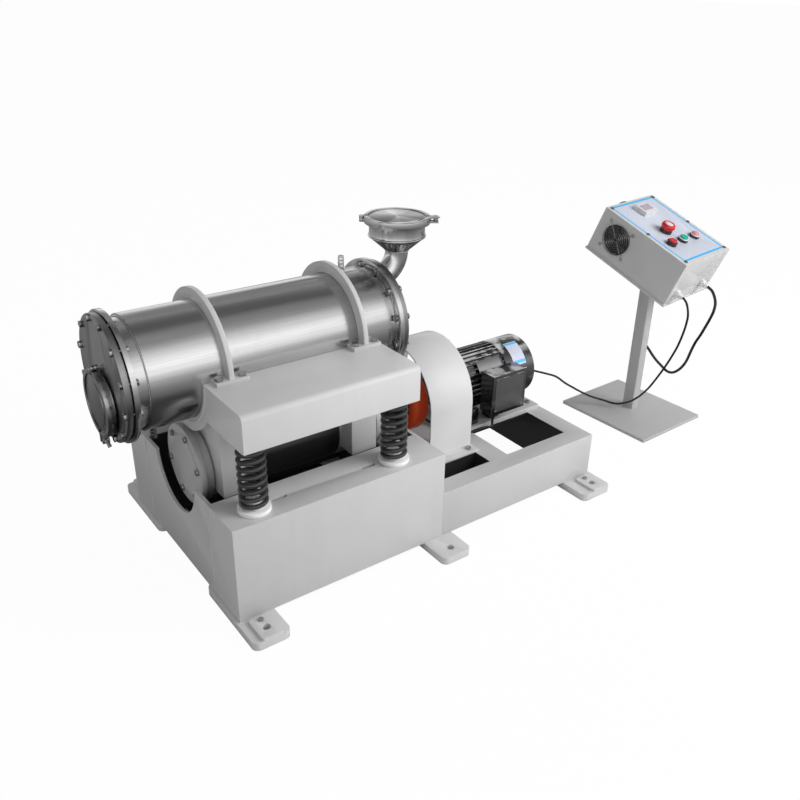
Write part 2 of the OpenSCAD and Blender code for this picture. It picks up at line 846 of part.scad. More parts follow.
// Rubber tyre of the coupling
module coupling_tyre() color("#b5442a") along_x(tyre_x, axis_z) rotate_extrude($fn = round_fn) {
    translate([tyre_bore_r, 0]) square([tyre_r - tyre_round - tyre_bore_r, tyre_w]);
    translate([tyre_bore_r, tyre_round]) square([tyre_r - tyre_bore_r, tyre_w - 2*tyre_round]);
    for (y = [tyre_round, tyre_w - tyre_round])
        translate([tyre_r - tyre_round, y]) circle(tyre_round, $fn = small_fn);
}

// Shaken body

// Saddle: wings with bent skirts, a cradle round the drum, cheeks, and legs to the exciter
module saddle() color("gainsboro") difference() {
    union() {
        for (s = [-1, 1]) mirror([0, s < 0 ? 0 : 1, 0]) {
            span([saddle_x0, -saddle_half_w + bend_r, saddle_z - saddle_t],
                [saddle_x1, -jacket_r, saddle_z]);
            span([saddle_x0, -saddle_half_w, skirt_z],
                [saddle_x1, -saddle_half_w + saddle_t, saddle_z - bend_r]);
            along_x(saddle_x0, saddle_z - bend_r, -saddle_half_w + bend_r) difference() {
                ring(bend_r, bend_r - saddle_t, saddle_len);
                translate([0, -2*bend_r, -cut]) cube([2*bend_r, 4*bend_r, saddle_len + 2*cut]);
                translate([-2*bend_r, -2*bend_r, -cut])
                    cube([4*bend_r, 2*bend_r, saddle_len + 2*cut]);
            }
            span([saddle_x0, -saddle_half_w + saddle_t, cheek_z],
                [saddle_x0 + cheek_t, -jacket_r, saddle_z - saddle_t]);
            span([saddle_x1 - cheek_t, -gusset_half_w, cheek_z],
                [saddle_x1, -jacket_r, saddle_z - saddle_t]);
        }
        for (x = [saddle_x0, saddle_x1 - cheek_t]) half_disc(x, cheek_r, cheek_t);
        half_disc(saddle_x0, cradle_ro, saddle_len);
        leg(leg_left_x, leg_left_w);
        leg(leg_right_x, leg_right_w);
    }
    along_x(saddle_x0 - cut, drum_z) rod(cradle_ri, saddle_len + 2*cut);
}

// A disc about the drum's axis with the part above the wings cut away
module half_disc(x, r, t) difference() {
    along_x(x, drum_z) rod(r, t);
    span([x - cut, -2*r, saddle_z - saddle_t], [x + t + cut, 2*r, drum_z + 2*r]);
}

// A box-section leg from the cradle to the exciter housing
module leg(x, w) difference() {
    span([x, -leg_half, leg_z], [x + w, leg_half, drum_z - jacket_r/2]);
    span([x + saddle_t, -leg_half + saddle_t, leg_z - cut],
        [x + w - saddle_t, leg_half - saddle_t, drum_z]);
    along_x(x - cut, axis_z) rod(housing_r + gap, w + 2*cut);
}

// Exciter housing: a tube with an end flange and a bearing seat at each end
module exciter_housing() color("#d0d0d0") {
    along_x(housing_x0, axis_z) ring(housing_r, housing_ri, housing_x1 - housing_x0);
    for (x = [housing_x0 - ex_flange_t, housing_x1])
        along_x(x, axis_z) ring(ex_flange_r, bearing_ro + gap, ex_flange_t);
    for (x = [housing_x0, housing_x1 - bearing_w])
        along_x(x, axis_z) ring(housing_ri + cut, bearing_ro + run_gap, bearing_w);
}

// Front cover, closed, and rear cover with its shaft hole
module exciter_covers() color("gainsboro") {
    difference() {
        along_x(housing_x0 - ex_flange_t - ex_cover_t, axis_z) rod(exciter_cover_r, ex_cover_t);
        exciter_screw_holes(housing_x0 - ex_flange_t - ex_cover_t - cut);
    }
    difference() {
        along_x(housing_x1 + ex_flange_t, axis_z)
            ring(exciter_cover_r, shaft_r + 2, ex_cover_t);
        exciter_screw_holes(housing_x1 + ex_flange_t - cut);
    }
}

function ex_screws() = [for (i = [0:ex_screws_n - 1])
    [ex_screw_pcr, ex_screw_turn + i*360/ex_screws_n]];

module exciter_screw_holes(x) along_x(x, axis_z) for (p = ex_screws())
    rotate([0, 0, p[1]]) translate([p[0], 0, 0]) rod(bolt_r + gap, ex_cover_t + 2*cut, small_fn);

module exciter_bearings() color("silver") for (x = [housing_x0, housing_x1 - bearing_w])
    along_x(x, axis_z) ring(bearing_ro, shaft_r + run_gap, bearing_w);

module exciter_shaft() color("silver")
    along_x(housing_x0 - shaft_tail, axis_z) rod(shaft_r, tyre_x - housing_x0);

// Eccentric weights on the exciter shaft: discs with a segment cut away
module eccentric_weights() color("#808080") for (x = [weight_x_left, weight_x_right])
    difference() {
        along_x(x, axis_z) rod(weight_r, weight_w);
        span([x - cut, -2*weight_r, axis_z + shaft_r + weight_lip],
            [x + weight_w + cut, 2*weight_r, axis_z + 2*weight_r]);
        along_x(x - cut, axis_z) rod(shaft_r + run_gap, weight_w + 2*cut);
    }

module exciter_hub() color("#444444") {
    x1 = tyre_x - gap;
    difference() {
        union() {
            along_x(ex_hub_x, axis_z) rod(hub_r, x1 - ex_hub_x);
            along_x(x1 - hub_flange_t, axis_z) rod(hub_flange_r, hub_flange_t);
        }
        along_x(ex_hub_x - cut, axis_z) rod(shaft_r + run_gap, x1 - ex_hub_x + 2*cut);
    }
}

// Drum shell with its flanges, inside a welded water jacket with two hose barbs
module mill_drum() color("#c8ccd0") {
    along_x(drum_x0, drum_z) ring(shell_r, shell_r - shell_t, drum_len);
    for (x = [drum_x0, -flange_t]) difference() {
        along_x(x, drum_z) ring(flange_r, shell_r - shell_t, flange_t);
        cover_bolt_holes(x - cut, flange_t);
    }
    along_x(jacket_x0, drum_z) ring(jacket_r, jacket_r - jacket_t, jacket_len);
    for (x = [jacket_x0, jacket_x0 + jacket_len - jacket_t])
        along_x(x, drum_z) ring(jacket_r - jacket_t/2, shell_r - shell_t/2, jacket_t);
    translate([barb_top_x, 0, drum_z + jacket_r - jacket_t + run_gap]) barb();
    translate([barb_low_x, 0, drum_z - jacket_r + jacket_t - run_gap]) mirror([0, 0, 1]) barb();
}

module cover_bolt_holes(x, t) along_x(x, drum_z) for (i = [0:cover_bolts_n - 1])
    rotate([0, 0, (i + 0.5)*360/cover_bolts_n]) translate([cover_pcr, 0, 0])
        rod(bolt_r + gap, t + 2*cut, small_fn);

// Dark end covers: the discharge cover carries the port, the feed cover the elbow
module end_covers() color("#4a4a4c") {
    left_x = drum_x0 - gasket_t - cover_t;
    difference() {
        union() {
            along_x(left_x, drum_z) rod(cover_r, cover_t);
            along_x(left_x - discharge_neck + ferrule_t, port_z)
                rod(port_r + hopper_t, discharge_neck - ferrule_t + cut);
            along_x(left_x - discharge_neck, port_z) rod(port_ferrule_r, ferrule_t);
        }
        along_x(left_x - discharge_neck - cut, port_z)
            rod(port_r, cover_t + discharge_neck + 2*cut);
        cover_bolt_holes(left_x - cut, cover_t);
    }
    difference() {
        along_x(gasket_t, drum_z) rod(cover_r, cover_t);
        along_x(gasket_t - cut, elbow_z) rod(elbow_r - elbow_t, cover_t + 2*cut);
        cover_bolt_holes(gasket_t - cut, cover_t);
    }
}

// Flat gaskets of the end covers, and of the two clamped openings
module gaskets() color("white") {
    for (x = [drum_x0 - gasket_t, 0])
        along_x(x, drum_z) ring(cover_pcr - 2*bolt_r, shell_r - shell_t + gap, gasket_t);
    at_hopper() clamp_gasket(hopper_ferrule_r, hopper_r);
    at_port() clamp_gasket(port_ferrule_r, port_r);
}

module clamp_gasket(rf, ri) translate([0, 0, -stack_t/2 + ferrule_t])
    ring(rf - clamp_gasket_t, ri, clamp_gasket_t);

// Bolts of the drum covers, the exciter covers and the straps
module mill_bolts() color("silver") {
    left_x = drum_x0 - gasket_t - cover_t;
    span_l = cover_t + gasket_t + flange_t;
    for (i = [0:cover_bolts_n - 1]) {
        a = (i + 0.5)*360/cover_bolts_n;
        along_x(left_x - bolt_head_h, drum_z) rotate([0, 0, a]) translate([cover_pcr, 0, 0])
            cover_bolt(span_l);
        along_x(gasket_t + cover_t + bolt_head_h, drum_z) rotate([0, 0, a])
            translate([cover_pcr, 0, 0]) mirror([0, 0, 1]) cover_bolt(span_l);
    }
    for (p = ex_screws()) {
        along_x(housing_x0 - ex_flange_t - ex_cover_t, axis_z) rotate([0, 0, p[1]])
            translate([p[0], 0, 0]) mirror([0, 0, 1])
                hex_screw(bolt_head_r, bolt_head_h, bolt_r, ex_cover_t);
        along_x(housing_x1 + ex_flange_t + ex_cover_t, axis_z) rotate([0, 0, p[1]])
            translate([p[0], 0, 0]) hex_screw(bolt_head_r, bolt_head_h, bolt_r, ex_cover_t);
    }
    for (p = strap_bolts()) translate([p[0], p[1], saddle_z + strap_foot_t])
        hex_screw(strap_head_r, strap_head_h, bolt_r, strap_foot_t);
}

// Head, shank and nut of one cover bolt, drawn along Z from the head
module cover_bolt(l) {
    rod(bolt_head_r, bolt_head_h, 6);
    rod(bolt_r, bolt_head_h + l + bolt_nut_h, small_fn);
    translate([0, 0, bolt_head_h + l]) rod(bolt_head_r, bolt_nut_h, 6);
}

function strap_bolts() = [for (x = [strap_x_left, strap_x_right]) for (sx = [-1, 1])
    for (sy = [-1, 1]) [x + sx*strap_bolt_dx, sy*strap_bolt_y]];

// Steel grinding balls lying along the bottom of the drum
module grinding_balls() color("silver") {
    seat = shell_r - shell_t - ball_r - gap;
    step = 2*asin((ball_r + gap)/seat);
    pitch = 2*(ball_r + gap);
    for (i = [0:balls_along - 1]) for (k = [0:balls_across - 1]) {
        a = (k - (balls_across - 1)/2)*step;
        translate([ball_x0 + i*pitch, seat*sin(a), drum_z - seat*cos(a)])
            sphere(ball_r, $fn = small_fn);
    }
}

// Half-ring straps that hold the drum down on the saddle
module hold_down_straps() color("gainsboro") for (x = [strap_x_left, strap_x_right])
    difference() {
        union() {
            difference() {
                along_x(x - strap_t/2, drum_z) rod(strap_ro, strap_t);
                span([x - strap_t, -2*strap_ro, 0], [x + strap_t, 2*strap_ro, saddle_z]);
            }
            for (s = [-1, 1]) translate([x, s*(strap_foot_y - strap_foot_w/2), saddle_z])
                translate([-strap_foot_l/2, -strap_foot_w/2, 0])
                    cube([strap_foot_l, strap_foot_w, strap_foot_t]);
        }
        along_x(x - strap_foot_l, drum_z) rod(strap_ri, 2*strap_foot_l);
        for (p = strap_bolts()) translate([p[0], p[1], saddle_z - cut])
            rod(bolt_r + gap, strap_foot_t + 2*cut, small_fn);
    }

// Hose barb for the cooling water, drawn along Z from inside the jacket's wall
module barb() difference() {
    union() {
        rod(barb_nut_r, barb_r + jacket_t, 6);
        rod(barb_r, barb_l, small_fn);
        for (i = [0:barb_rings - 1]) translate([0, 0, barb_first + i*barb_step])
            cylinder(r1 = barb_ring_r, r2 = barb_r, h = barb_r, $fn = small_fn);
    }
    translate([0, 0, -cut]) rod(barb_bore_r, barb_l + 2*cut, small_fn);
}

// Elbow, cone and cylinder of the feed hopper, with the ferrule at its mouth
module feed_hopper() color("#c8ccd0") {
    translate([feed_face_x, 0, elbow_top_z]) rotate([90, 0, 0])
        rotate_extrude(angle = -90, $fn = round_fn) translate([hopper_out, 0]) difference() {
            circle(elbow_r, $fn = 64);
            circle(elbow_r - elbow_t, $fn = 64);
        }
    mouth_z = hopper_clamp_z - stack_t/2;
    translate([hopper_x, 0, 0]) rotate_extrude($fn = round_fn) {
        polygon([[elbow_r - elbow_t, elbow_top_z], [elbow_r, elbow_top_z],
            [hopper_r, cone_top_z], [hopper_r, mouth_z], [hopper_ferrule_r, mouth_z],
            [hopper_ferrule_r, mouth_z + ferrule_t], [hopper_r - hopper_t, mouth_z + ferrule_t],
            [hopper_r - hopper_t, cone_top_z]]);
        translate([hopper_r, cone_top_z + hopper_t]) circle(hopper_t, $fn = small_fn);
    }
}

// Clamps. Local frame: the ring's axis is Z, its hinge pin stands at +X, its bolt at -X

module at_hopper() translate([hopper_x, 0, hopper_clamp_z]) rotate([0, 0, hopper_turn]) children();

module at_port() translate([drum_x0 - gasket_t - cover_t - discharge_neck - stack_t/2
    + ferrule_t, 0, port_z]) rotate([0, -90, 0]) children();

// Section of a clamp ring: a band with two inward lips
module clamp_section(rf) {
    translate([rf + gap, -clamp_h/2]) square([clamp_wall, clamp_h]);
    for (z = [-clamp_h/2, clamp_h/2 - lip_t])
        translate([rf - lip_in, z]) square([lip_in + gap + cut, lip_t]);
}

// Half A of a clamp, at local +Y, with the hinge pin and the clevis of the swing bolt
module clamp_half_a(rf) {
    ro = rf + gap + clamp_wall;
    rotate([0, 0, ring_gap_deg]) rotate_extrude(angle = 180 - 2*ring_gap_deg, $fn = round_fn)
        clamp_section(rf);
    translate([ro + pin_out, 0, -clamp_h/2]) rod(pin_r, clamp_h, small_fn);
    mirror([0, 0, 1]) knuckle(ro);
    for (z = [gap - clamp_h/2, eye_half + gap]) translate([-ro - lug_out, lug_y, z])
        cube([lug_out + clamp_wall/2, lug_t, clamp_h/2 - eye_half - 2*gap]);
    translate([-ro + clamp_wall/3, lug_y + gap, -clamp_h/2])
        cube([clamp_wall/3, 2*lug_t, clamp_h]);
    translate([-ro - rod_out, lug_y + lug_t/2, -clamp_h/2]) rod(pivot_r, clamp_h, small_fn);
}

// Upper knuckle of half A's side, with its arm to the ring
module knuckle(ro) {
    translate([ro + pin_out, 0, gap/2]) rod(knuckle_r, clamp_h/2 - gap/2, small_fn);
    translate([ro - clamp_wall/2, gap, gap/2])
        cube([pin_out + clamp_wall/2, knuckle_r - gap - cut, clamp_h/2 - gap/2]);
    translate([ro - clamp_wall/2 - gap, knuckle_r - 2*cut, -clamp_h/2])
        cube([clamp_wall/3, ro*sin(ring_gap_deg) - knuckle_r + 4*cut, clamp_h]);
}

// Half B of a clamp, at local -Y, with the other knuckle and the forked lug
module clamp_half_b(rf) {
    ro = rf + gap + clamp_wall;
    difference() {
        union() {
            rotate([0, 0, 180 + ring_gap_deg])
                rotate_extrude(angle = 180 - 2*ring_gap_deg, $fn = round_fn) clamp_section(rf);
            mirror([0, 1, 0]) knuckle(ro);
            intersection() {
                translate([-ro - lug_out, -lug_y - lug_t - cut, gap - clamp_h/2])
                    cube([lug_out - rod_out + eye_r, lug_t + cut, clamp_h - 2*gap]);
                translate([-ro - rod_out, lug_y + lug_t/2, -clamp_h/2])
                    rod(lug_arc(), clamp_h);
            }
            translate([-ro - rod_out + eye_r - cut, -lug_y - lug_t + 2*gap, gap - clamp_h/2])
                cube([rod_out - eye_r + cut + clamp_wall/2, lug_t - 2*gap, clamp_h - 2*gap]);
            translate([-ro + clamp_wall/3, -lug_y - 2*lug_t - gap, -clamp_h/2])
                cube([clamp_wall/3, 2*lug_t, clamp_h]);
        }
        translate([ro + pin_out, 0, -clamp_h/2]) rod(pin_r + run_gap*2, clamp_h, small_fn);
        translate([-ro - lug_out - cut, -lug_y - lug_t - 2*cut, -slot_half])
            cube([lug_out + cut - 2, lug_t + 3*cut, 2*slot_half]);
    }
}

// Radius of the forked lug's outer face about the swing bolt's pivot
function lug_arc() = 2*lug_y + lug_t + lug_t/2;

// Swing bolt: an eye on half A's pivot pin, and a rod through half B's fork
module swing_bolt(rf) {
    translate([-rf - gap - clamp_wall - rod_out, lug_y + lug_t/2, 0]) difference() {
        union() {
            translate([0, 0, -eye_half]) rod(eye_r, 2*eye_half, small_fn);
            rotate([90, 0, 0]) rod(rod_r, bolt_len, small_fn);
        }
        translate([0, 0, -clamp_h]) rod(pivot_r + run_gap*2, 2*clamp_h, small_fn);
    }
}

// Wing nut on the swing bolt
module wing_nut(rf) {
    translate([-rf - gap - clamp_wall - rod_out, lug_y + lug_t/2 - lug_arc() - gap, 0])
        rotate([90, 0, 0]) difference() {
            union() {
                cylinder(r1 = nut_r, r2 = nut_r*0.8, h = nut_h, $fn = small_fn);
                for (s = [0, 180]) rotate([0, 0, s]) {
                    translate([nut_r/2, -nut_r/4, nut_h/3]) cube([nut_r*1.2, nut_r/2, nut_h*0.8]);
                    translate([nut_r*1.6, nut_r/4, nut_h]) rotate([90, 0, 0])
                        rod(nut_r/2, nut_r/2, small_fn);
                }
            }
            translate([0, 0, -cut]) rod(rod_r + run_gap, nut_h + 3*cut, small_fn);
        }
}

// Cover of a clamped opening: a flange with a shallow raised middle
module clamp_cap(rf, ri) translate([0, 0, stack_t/2 - ferrule_t]) {
    rod(rf, ferrule_t);
    rod(rf - lip_in - cut, ferrule_t + lip_t/2);
    rod(ri - cap_step, ferrule_t + lip_t);
}

module hopper_lid() color("#c8ccd0") at_hopper() clamp_cap(hopper_ferrule_r, hopper_r);
module hopper_clamp_a() color("#bcc0c4") at_hopper() clamp_half_a(hopper_ferrule_r);
module hopper_clamp_b() color("#bcc0c4") at_hopper() clamp_half_b(hopper_ferrule_r);
module hopper_swing_bolt() color("silver") at_hopper() swing_bolt(hopper_ferrule_r);
module hopper_wing_nut() color("silver") at_hopper() wing_nut(hopper_ferrule_r);
module discharge_cap() color("#c8ccd0") at_port() clamp_cap(port_ferrule_r, port_r);
module discharge_clamp_a() color("#bcc0c4") at_port() clamp_half_a(port_ferrule_r);
module discharge_clamp_b() color("#bcc0c4") at_port() clamp_half_b(port_ferrule_r);
module discharge_swing_bolt() color("silver") at_port() swing_bolt(port_ferrule_r);
module discharge_wing_nut() color("silver") at_port() wing_nut(port_ferrule_r);

// Control stand. The box's own frame: X across, Y up the slope, Z out of the panel

module in_box() translate(ctl_at) rotate([ctl_tilt, 0, ctl_turn]) children();

function turned(v) = [v[0]*cos(ctl_turn) - v[1]*sin(ctl_turn),
    v[0]*sin(ctl_turn) + v[1]*cos(ctl_turn), v[2]];
function box_point(p) = ctl_at + turned([p[0], p[1]*cos(ctl_tilt) - p[2]*sin(ctl_tilt),
    p[1]*sin(ctl_tilt) + p[2]*cos(ctl_tilt)]);

// Foot plate and square post, welded, with a sloping head plate
module control_stand() color("gainsboro") {
    translate([stand_x, stand_y, 0]) rotate([0, 0, stand_turn]) translate([-stand_len/2,
        -stand_w/2, 0]) cube([stand_len, stand_w, stand_t]);
    difference() {
        translate([post_x, post_y, stand_t]) rotate([0, 0, ctl_turn]) difference() {
            translate([-post_w/2, -post_w/2, 0]) cube([post_w, post_w, ctl_at[2]]);
            translate([-post_w/2 + post_wall, -post_w/2 + post_wall, 0])
                cube([post_w - 2*post_wall, post_w - 2*post_wall, ctl_at[2] + cut]);
        }
        in_box() translate([-ctl_w, -ctl_len, -ctl_hd - back_t - head_plate_t])
            cube([2*ctl_w, 2*ctl_len, 2*ctl_d]);
    }
    in_box() translate([-head_plate/2, -head_plate/2, -ctl_hd - back_t - head_plate_t])
        cube([head_plate, head_plate, head_plate_t]);
}

// Sheet metal box with a closed front, an open back and a peg for the coiled cord
module control_box() color("#e8e8ec") in_box() {
    difference() {
        translate([-ctl_hw, -ctl_hl, -ctl_hd]) cube([ctl_w, ctl_len, panel_z + ctl_hd]);
        translate([-ctl_hw + ctl_wall, -ctl_hl + ctl_wall, -ctl_hd - cut])
            cube([ctl_w - 2*ctl_wall, ctl_len - 2*ctl_wall, panel_z + ctl_hd + cut - ctl_wall]);
        translate([-ctl_hw - cut, fan_at[0], fan_at[1]]) rotate([0, 90, 0])
            rod(fan_bore, ctl_wall + 2*cut);
        for (g = [gland1_at, gland2_at]) translate([g[0], -ctl_hl + ctl_wall + cut, g[1]])
            rotate([90, 0, 0]) rod(gland_hole_r, ctl_wall + 2*cut, small_fn);
        for (p = [red_at, green_at, lamp_at]) translate([p[0], p[1], panel_z - ctl_wall - cut])
            rod(button_r + cut, ctl_wall + 2*cut, small_fn);
        translate([stop_at[0], stop_at[1], panel_z - ctl_wall - cut])
            rod(stop_stem_r + cut, ctl_wall + 2*cut);
    }
    peg_z = coil_at[1] + coil_inner_r - supply_r - gap - peg_r;
    translate([coil_at[0], ctl_hl - cut, peg_z]) rotate([-90, 0, 0]) {
        rod(peg_r, peg_len() + cut, small_fn);
        translate([0, 0, peg_len()]) rod(peg_head_r, peg_head_t, small_fn);
    }
}

function peg_len() = coil_stand_off + coil_layers*coil_step;

module back_plate() color("gainsboro") in_box()
    translate([-ctl_hw - back_lip, -ctl_hl - back_lip, -ctl_hd - back_t])
        cube([ctl_w + 2*back_lip, ctl_len + 2*back_lip, back_t]);

// Front plate with its button holes
module control_panel() color("#e6e4f2") in_box() difference() {
    translate([-ctl_hw, -ctl_hl, panel_z]) cube([ctl_w, ctl_len, panel_t]);
    for (p = [red_at, green_at, lamp_at]) translate([p[0], p[1], panel_z - cut])
        rod(button_r + gap, panel_t + 2*cut, small_fn);
    translate([stop_at[0], stop_at[1], panel_z - cut]) rod(stop_stem_r + gap, panel_t + 2*cut);
}

// Display housing and the lamp under its round lens
module panel_indicators() color("#303034") in_box() {
    translate([display_at[0], display_at[1], ctl_hd])
        round_plate(display_l, display_w, display_h, display_h/4);
    translate([lamp_at[0], lamp_at[1], panel_z]) {
        rod(button_r, panel_t + bezel_h + lens_rise, small_fn);
        translate([0, 0, panel_t + bezel_h + lens_rise]) cylinder(r1 = button_r, r2 = lens_top_r,
            h = lens_dome, $fn = small_fn);
    }
}

// Bezels of the buttons and the lamp, and the collar of the stop button
module button_bezels() color("#c9c9c9") in_box() {
    for (p = [red_at, green_at, lamp_at]) translate([p[0], p[1], ctl_hd])
        ring(bezel_r, button_r + gap, bezel_h);
    translate([stop_at[0], stop_at[1], ctl_hd]) ring(collar_r, stop_stem_r + gap, collar_h);
}

module stop_button() color("#c0392b") in_box() translate([stop_at[0], stop_at[1], 0]) {
    translate([0, 0, panel_z - button_tail])
        rod(stop_stem_r, button_tail + panel_t + collar_h + stop_rise + cut);
    translate([0, 0, ctl_hd + collar_h + stop_rise]) {
        rod(stop_r, stop_h);
        translate([0, 0, stop_h]) cylinder(r1 = stop_r, r2 = stop_top_r, h = stop_dome,
            $fn = round_fn);
    }
}

// One push button cap
module push_button(p) in_box() translate([p[0], p[1], panel_z - button_tail])
    rod(button_r, button_tail + panel_t + bezel_h + button_rise, small_fn);

module red_button() color("#d03030") push_button(red_at);
module green_button() color("#2fa050") push_button(green_at);

// Speed controller screwed to the back plate
module inverter() color("#303030") in_box() translate([0, -inv_l/7, -ctl_hd]) {
    translate([-inv_w/2, -inv_l/2, 0]) cube([inv_w, inv_l, inv_h]);
    for (i = [0:inv_ribs_n - 1])
        translate([-inv_w*0.44, (i + 0.5 - inv_ribs_n/2)*inv_l/(inv_ribs_n + 1) - inv_rib_w/2,
            inv_h]) cube([inv_w*0.88, inv_rib_w, inv_rib_h]);
}

// Square fan frame inside the box, its hub carried by three arms
module fan_frame() color("#202020") in_box()
    translate([-ctl_hw + ctl_wall, fan_at[0], fan_at[1]]) rotate([0, 90, 0]) {
        difference() {
            translate([-fan_size/2, -fan_size/2, 0]) cube([fan_size, fan_size, fan_depth]);
            translate([0, 0, -cut]) rod(fan_bore, fan_depth + 2*cut);
        }
        translate([0, 0, fan_depth - fan_arm_t - cut]) {
            rod(fan_hub_r, fan_arm_t);
            for (i = [0:2]) rotate([0, 0, i*360/3]) translate([0, -fan_arm_t, 0])
                cube([fan_bore + cut, 2*fan_arm_t, fan_arm_t]);
        }
        translate([0, 0, 2*fan_arm_t]) rod(fan_pin_r, fan_depth - 3*fan_arm_t, small_fn);
    }

// Wire finger guard over the fan, with its four screw tabs
module fan_guard() color("silver") in_box()
    translate([-ctl_hw, fan_at[0], fan_at[1]]) rotate([0, -90, 0]) {
        rod(guard_hub_r, 3.1*guard_wire, small_fn);
        for (i = [1:guard_rings]) translate([0, 0, 2.8*guard_wire]) rotate_extrude($fn = 64)
            translate([i*guard_ring_step, 0]) circle(guard_wire, $fn = 16);
        for (i = [0:3]) rotate([0, 0, 45 + i*90]) {
            translate([0, 0, 1.9*guard_wire]) rotate([0, 90, 0])
                rod(guard_wire, fan_screw_pcr, 16);
            translate([fan_screw_pcr, 0, 0]) rod(guard_tab_r, 3*guard_wire, small_fn);
        }
    }

// Fan impeller with seven blades
module fan_rotor() color("#1c1c1c") in_box()
    translate([-ctl_hw + ctl_wall + fan_arm_t, fan_at[0], fan_at[1]]) rotate([0, 90, 0])
        difference() {
            union() {
                rod(fan_hub_r, fan_hub_h);
                for (i = [0:fan_blades_n - 1]) rotate([0, 0, i*360/fan_blades_n])
                    translate([fan_hub_r - fan_arm_t, -fan_blade_t/2, fan_blade_t])
                        cube([fan_rotor_r - fan_hub_r + fan_arm_t - cut, fan_blade_t,
                            fan_hub_h - 2*fan_blade_t]);
            }
            translate([0, 0, fan_blade_t]) rod(fan_pin_r + run_gap, fan_hub_h, small_fn);
        }

// A cable gland drawn along Z from its seat: a hexagon nut and a tapered nose
module gland(cord_r) difference() {
    union() {
        rod(gland_nut_r, gland_base, 6);
        translate([0, 0, gland_base]) cylinder(r1 = gland_nose_r, r2 = cord_r + gland_tip_t,
            h = gland_nose, $fn = small_fn);
    }
    translate([0, 0, -cut]) rod(cord_r + gap, gland_len + 2*cut, small_fn);
}

// Glands of the control box and the terminal box, and the clip on the fan cover
module cable_glands() color("#1e1e1e") {
    in_box() {
        translate([gland1_at[0], -ctl_hl, gland1_at[1]]) rotate([90, 0, 0])
            gland(motor_cable_r);
        translate([gland2_at[0], -ctl_hl, gland2_at[1]]) rotate([90, 0, 0]) gland(supply_r);
    }
    translate([tb_gland_x, tb_gland_y, tb_z]) mirror([0, 0, 1]) gland(motor_cable_r);
    clip_r = norm([clip_at[1], clip_at[2] - axis_z]);
    difference() {
        translate([clip_at[0] - clip_l/2, 0, axis_z])
            rotate([atan2(clip_at[2] - axis_z, clip_at[1]), 0, 0])
                translate([0, fan_cover_r + gap, -clip_w/2])
                    cube([clip_l, clip_r + motor_cable_r + clip_t - fan_cover_r, clip_w]);
        along_x(clip_at[0] - clip_l/2 - cut, clip_at[2], clip_at[1])
            rod(motor_cable_r + gap, clip_l + 2*cut, small_fn);
    }
}

// Cords

// Where each cord starts inside its gland, and where it leaves it
function gland_points(g) = [box_point([g[0], -ctl_hl - gland_len + gland_in, g[1]]),
    box_point([g[0], -ctl_hl - gland_len - 4, g[1]])];
function motor_cable_path() = let (g = gland_points(gland1_at)) concat(
    [[tb_gland_x, tb_gland_y, tb_z - gland_len + gland_in]], motor_route, [g[1], g[0]]);
function coil_start() = box_point([coil_at[0] - supply_d, ctl_hl + coil_stand_off,
    coil_at[1] - coil_outer_r()]);
function supply_path() = let (g = gland_points(gland2_at)) concat([g[0], g[1]], supply_route,
    [box_point([coil_at[0] - 4*supply_d, ctl_hl + coil_stand_off, coil_at[1] - coil_outer_r()]),
     coil_start()]);
function path_length(p) = len(p) < 2 ? 0 : [for (i = [1:len(p) - 1]) norm(p[i] - p[i - 1])]
    * [for (i = [1:len(p) - 1]) 1];

module motor_cable() color("#151515") {
    path = smooth_path(motor_cable_path(), 2);
    echo(motor_cable_length = path_length(path), rings = len(path));
    swept_tube(path, motor_cable_r, 8);
}

module supply_cord() color("#151515") {
    path = smooth_path(supply_path(), 3);
    echo(supply_cord_length = path_length(path), rings = len(path));
    swept_tube(path, supply_r, 8);
}

// The coil spirals in and out, and climbs a layer in the half turn where it reverses
function coil_outer_r() = coil_inner_r + coil_turns_per_layer*coil_step;
function coil_radius(t) = let (k = floor(t/coil_turns_per_layer),
    f = t - k*coil_turns_per_layer) k%2 == 0 ? coil_outer_r() - f*coil_step
    : coil_inner_r + f*coil_step;
function coil_climb(t) = coil_step*sum_of([for (k = [1:coil_layers - 1])
    min(1, max(0, 2*(t - k*coil_turns_per_layer) + 0.5))]);
function sum_of(v) = v*[for (x = v) 1];
function coil_local(t) = [coil_at[0] + coil_radius(t)*cos(360*t - 90),
    ctl_hl + coil_stand_off + coil_climb(t), coil_at[1] + coil_radius(t)*sin(360*t - 90)];

// The free end runs on from the coil and turns to hang straight down
function coil_tail() = let (last = coil_local(coil_last), tilt = box_point([0, 0, 1]) - ctl_at,
    low = box_point(last - [0, 0, 2*supply_d]),
    turned_low = low - supply_d*unit(tilt + [0, 0, 1]))
    [box_point(last - [0, 0, supply_d]), low, turned_low, turned_low - [0, 0, supply_d]];
function plug_top() = coil_tail()[3];
function coil_path() = concat([coil_start()],
    [for (i = [0:coil_last*coil_rings]) box_point(coil_local(i/coil_rings))], coil_tail());

module supply_coil() color("#151515") {
    path = coil_path();
    echo(coil_least_gap = least_gap(path, coil_rings/2 + 1, supply_d),
        coil_length = path_length(path));
    swept_tube(path, supply_r, 6);
}

// Mains plug that hangs at the free end of the coil, drawn along Z from the cord
module mains_plug() color("#1a1a1a")
    translate(plug_top()) mirror([0, 0, 1]) {
        cylinder(r1 = supply_r + supply_d/4, r2 = plug_body_r*0.7, h = plug_neck_l,
            $fn = small_fn);
        translate([0, 0, plug_neck_l]) rod(plug_body_r, plug_body_l);
        translate([0, 0, plug_neck_l + plug_body_l]) rod(plug_face_r, plug_face_l);
        for (s = [-1, 1]) translate([s*plug_pin_x, 0, plug_neck_l + plug_body_l + plug_face_l])
            rod(plug_pin_r, plug_pin_l, small_fn);
    }

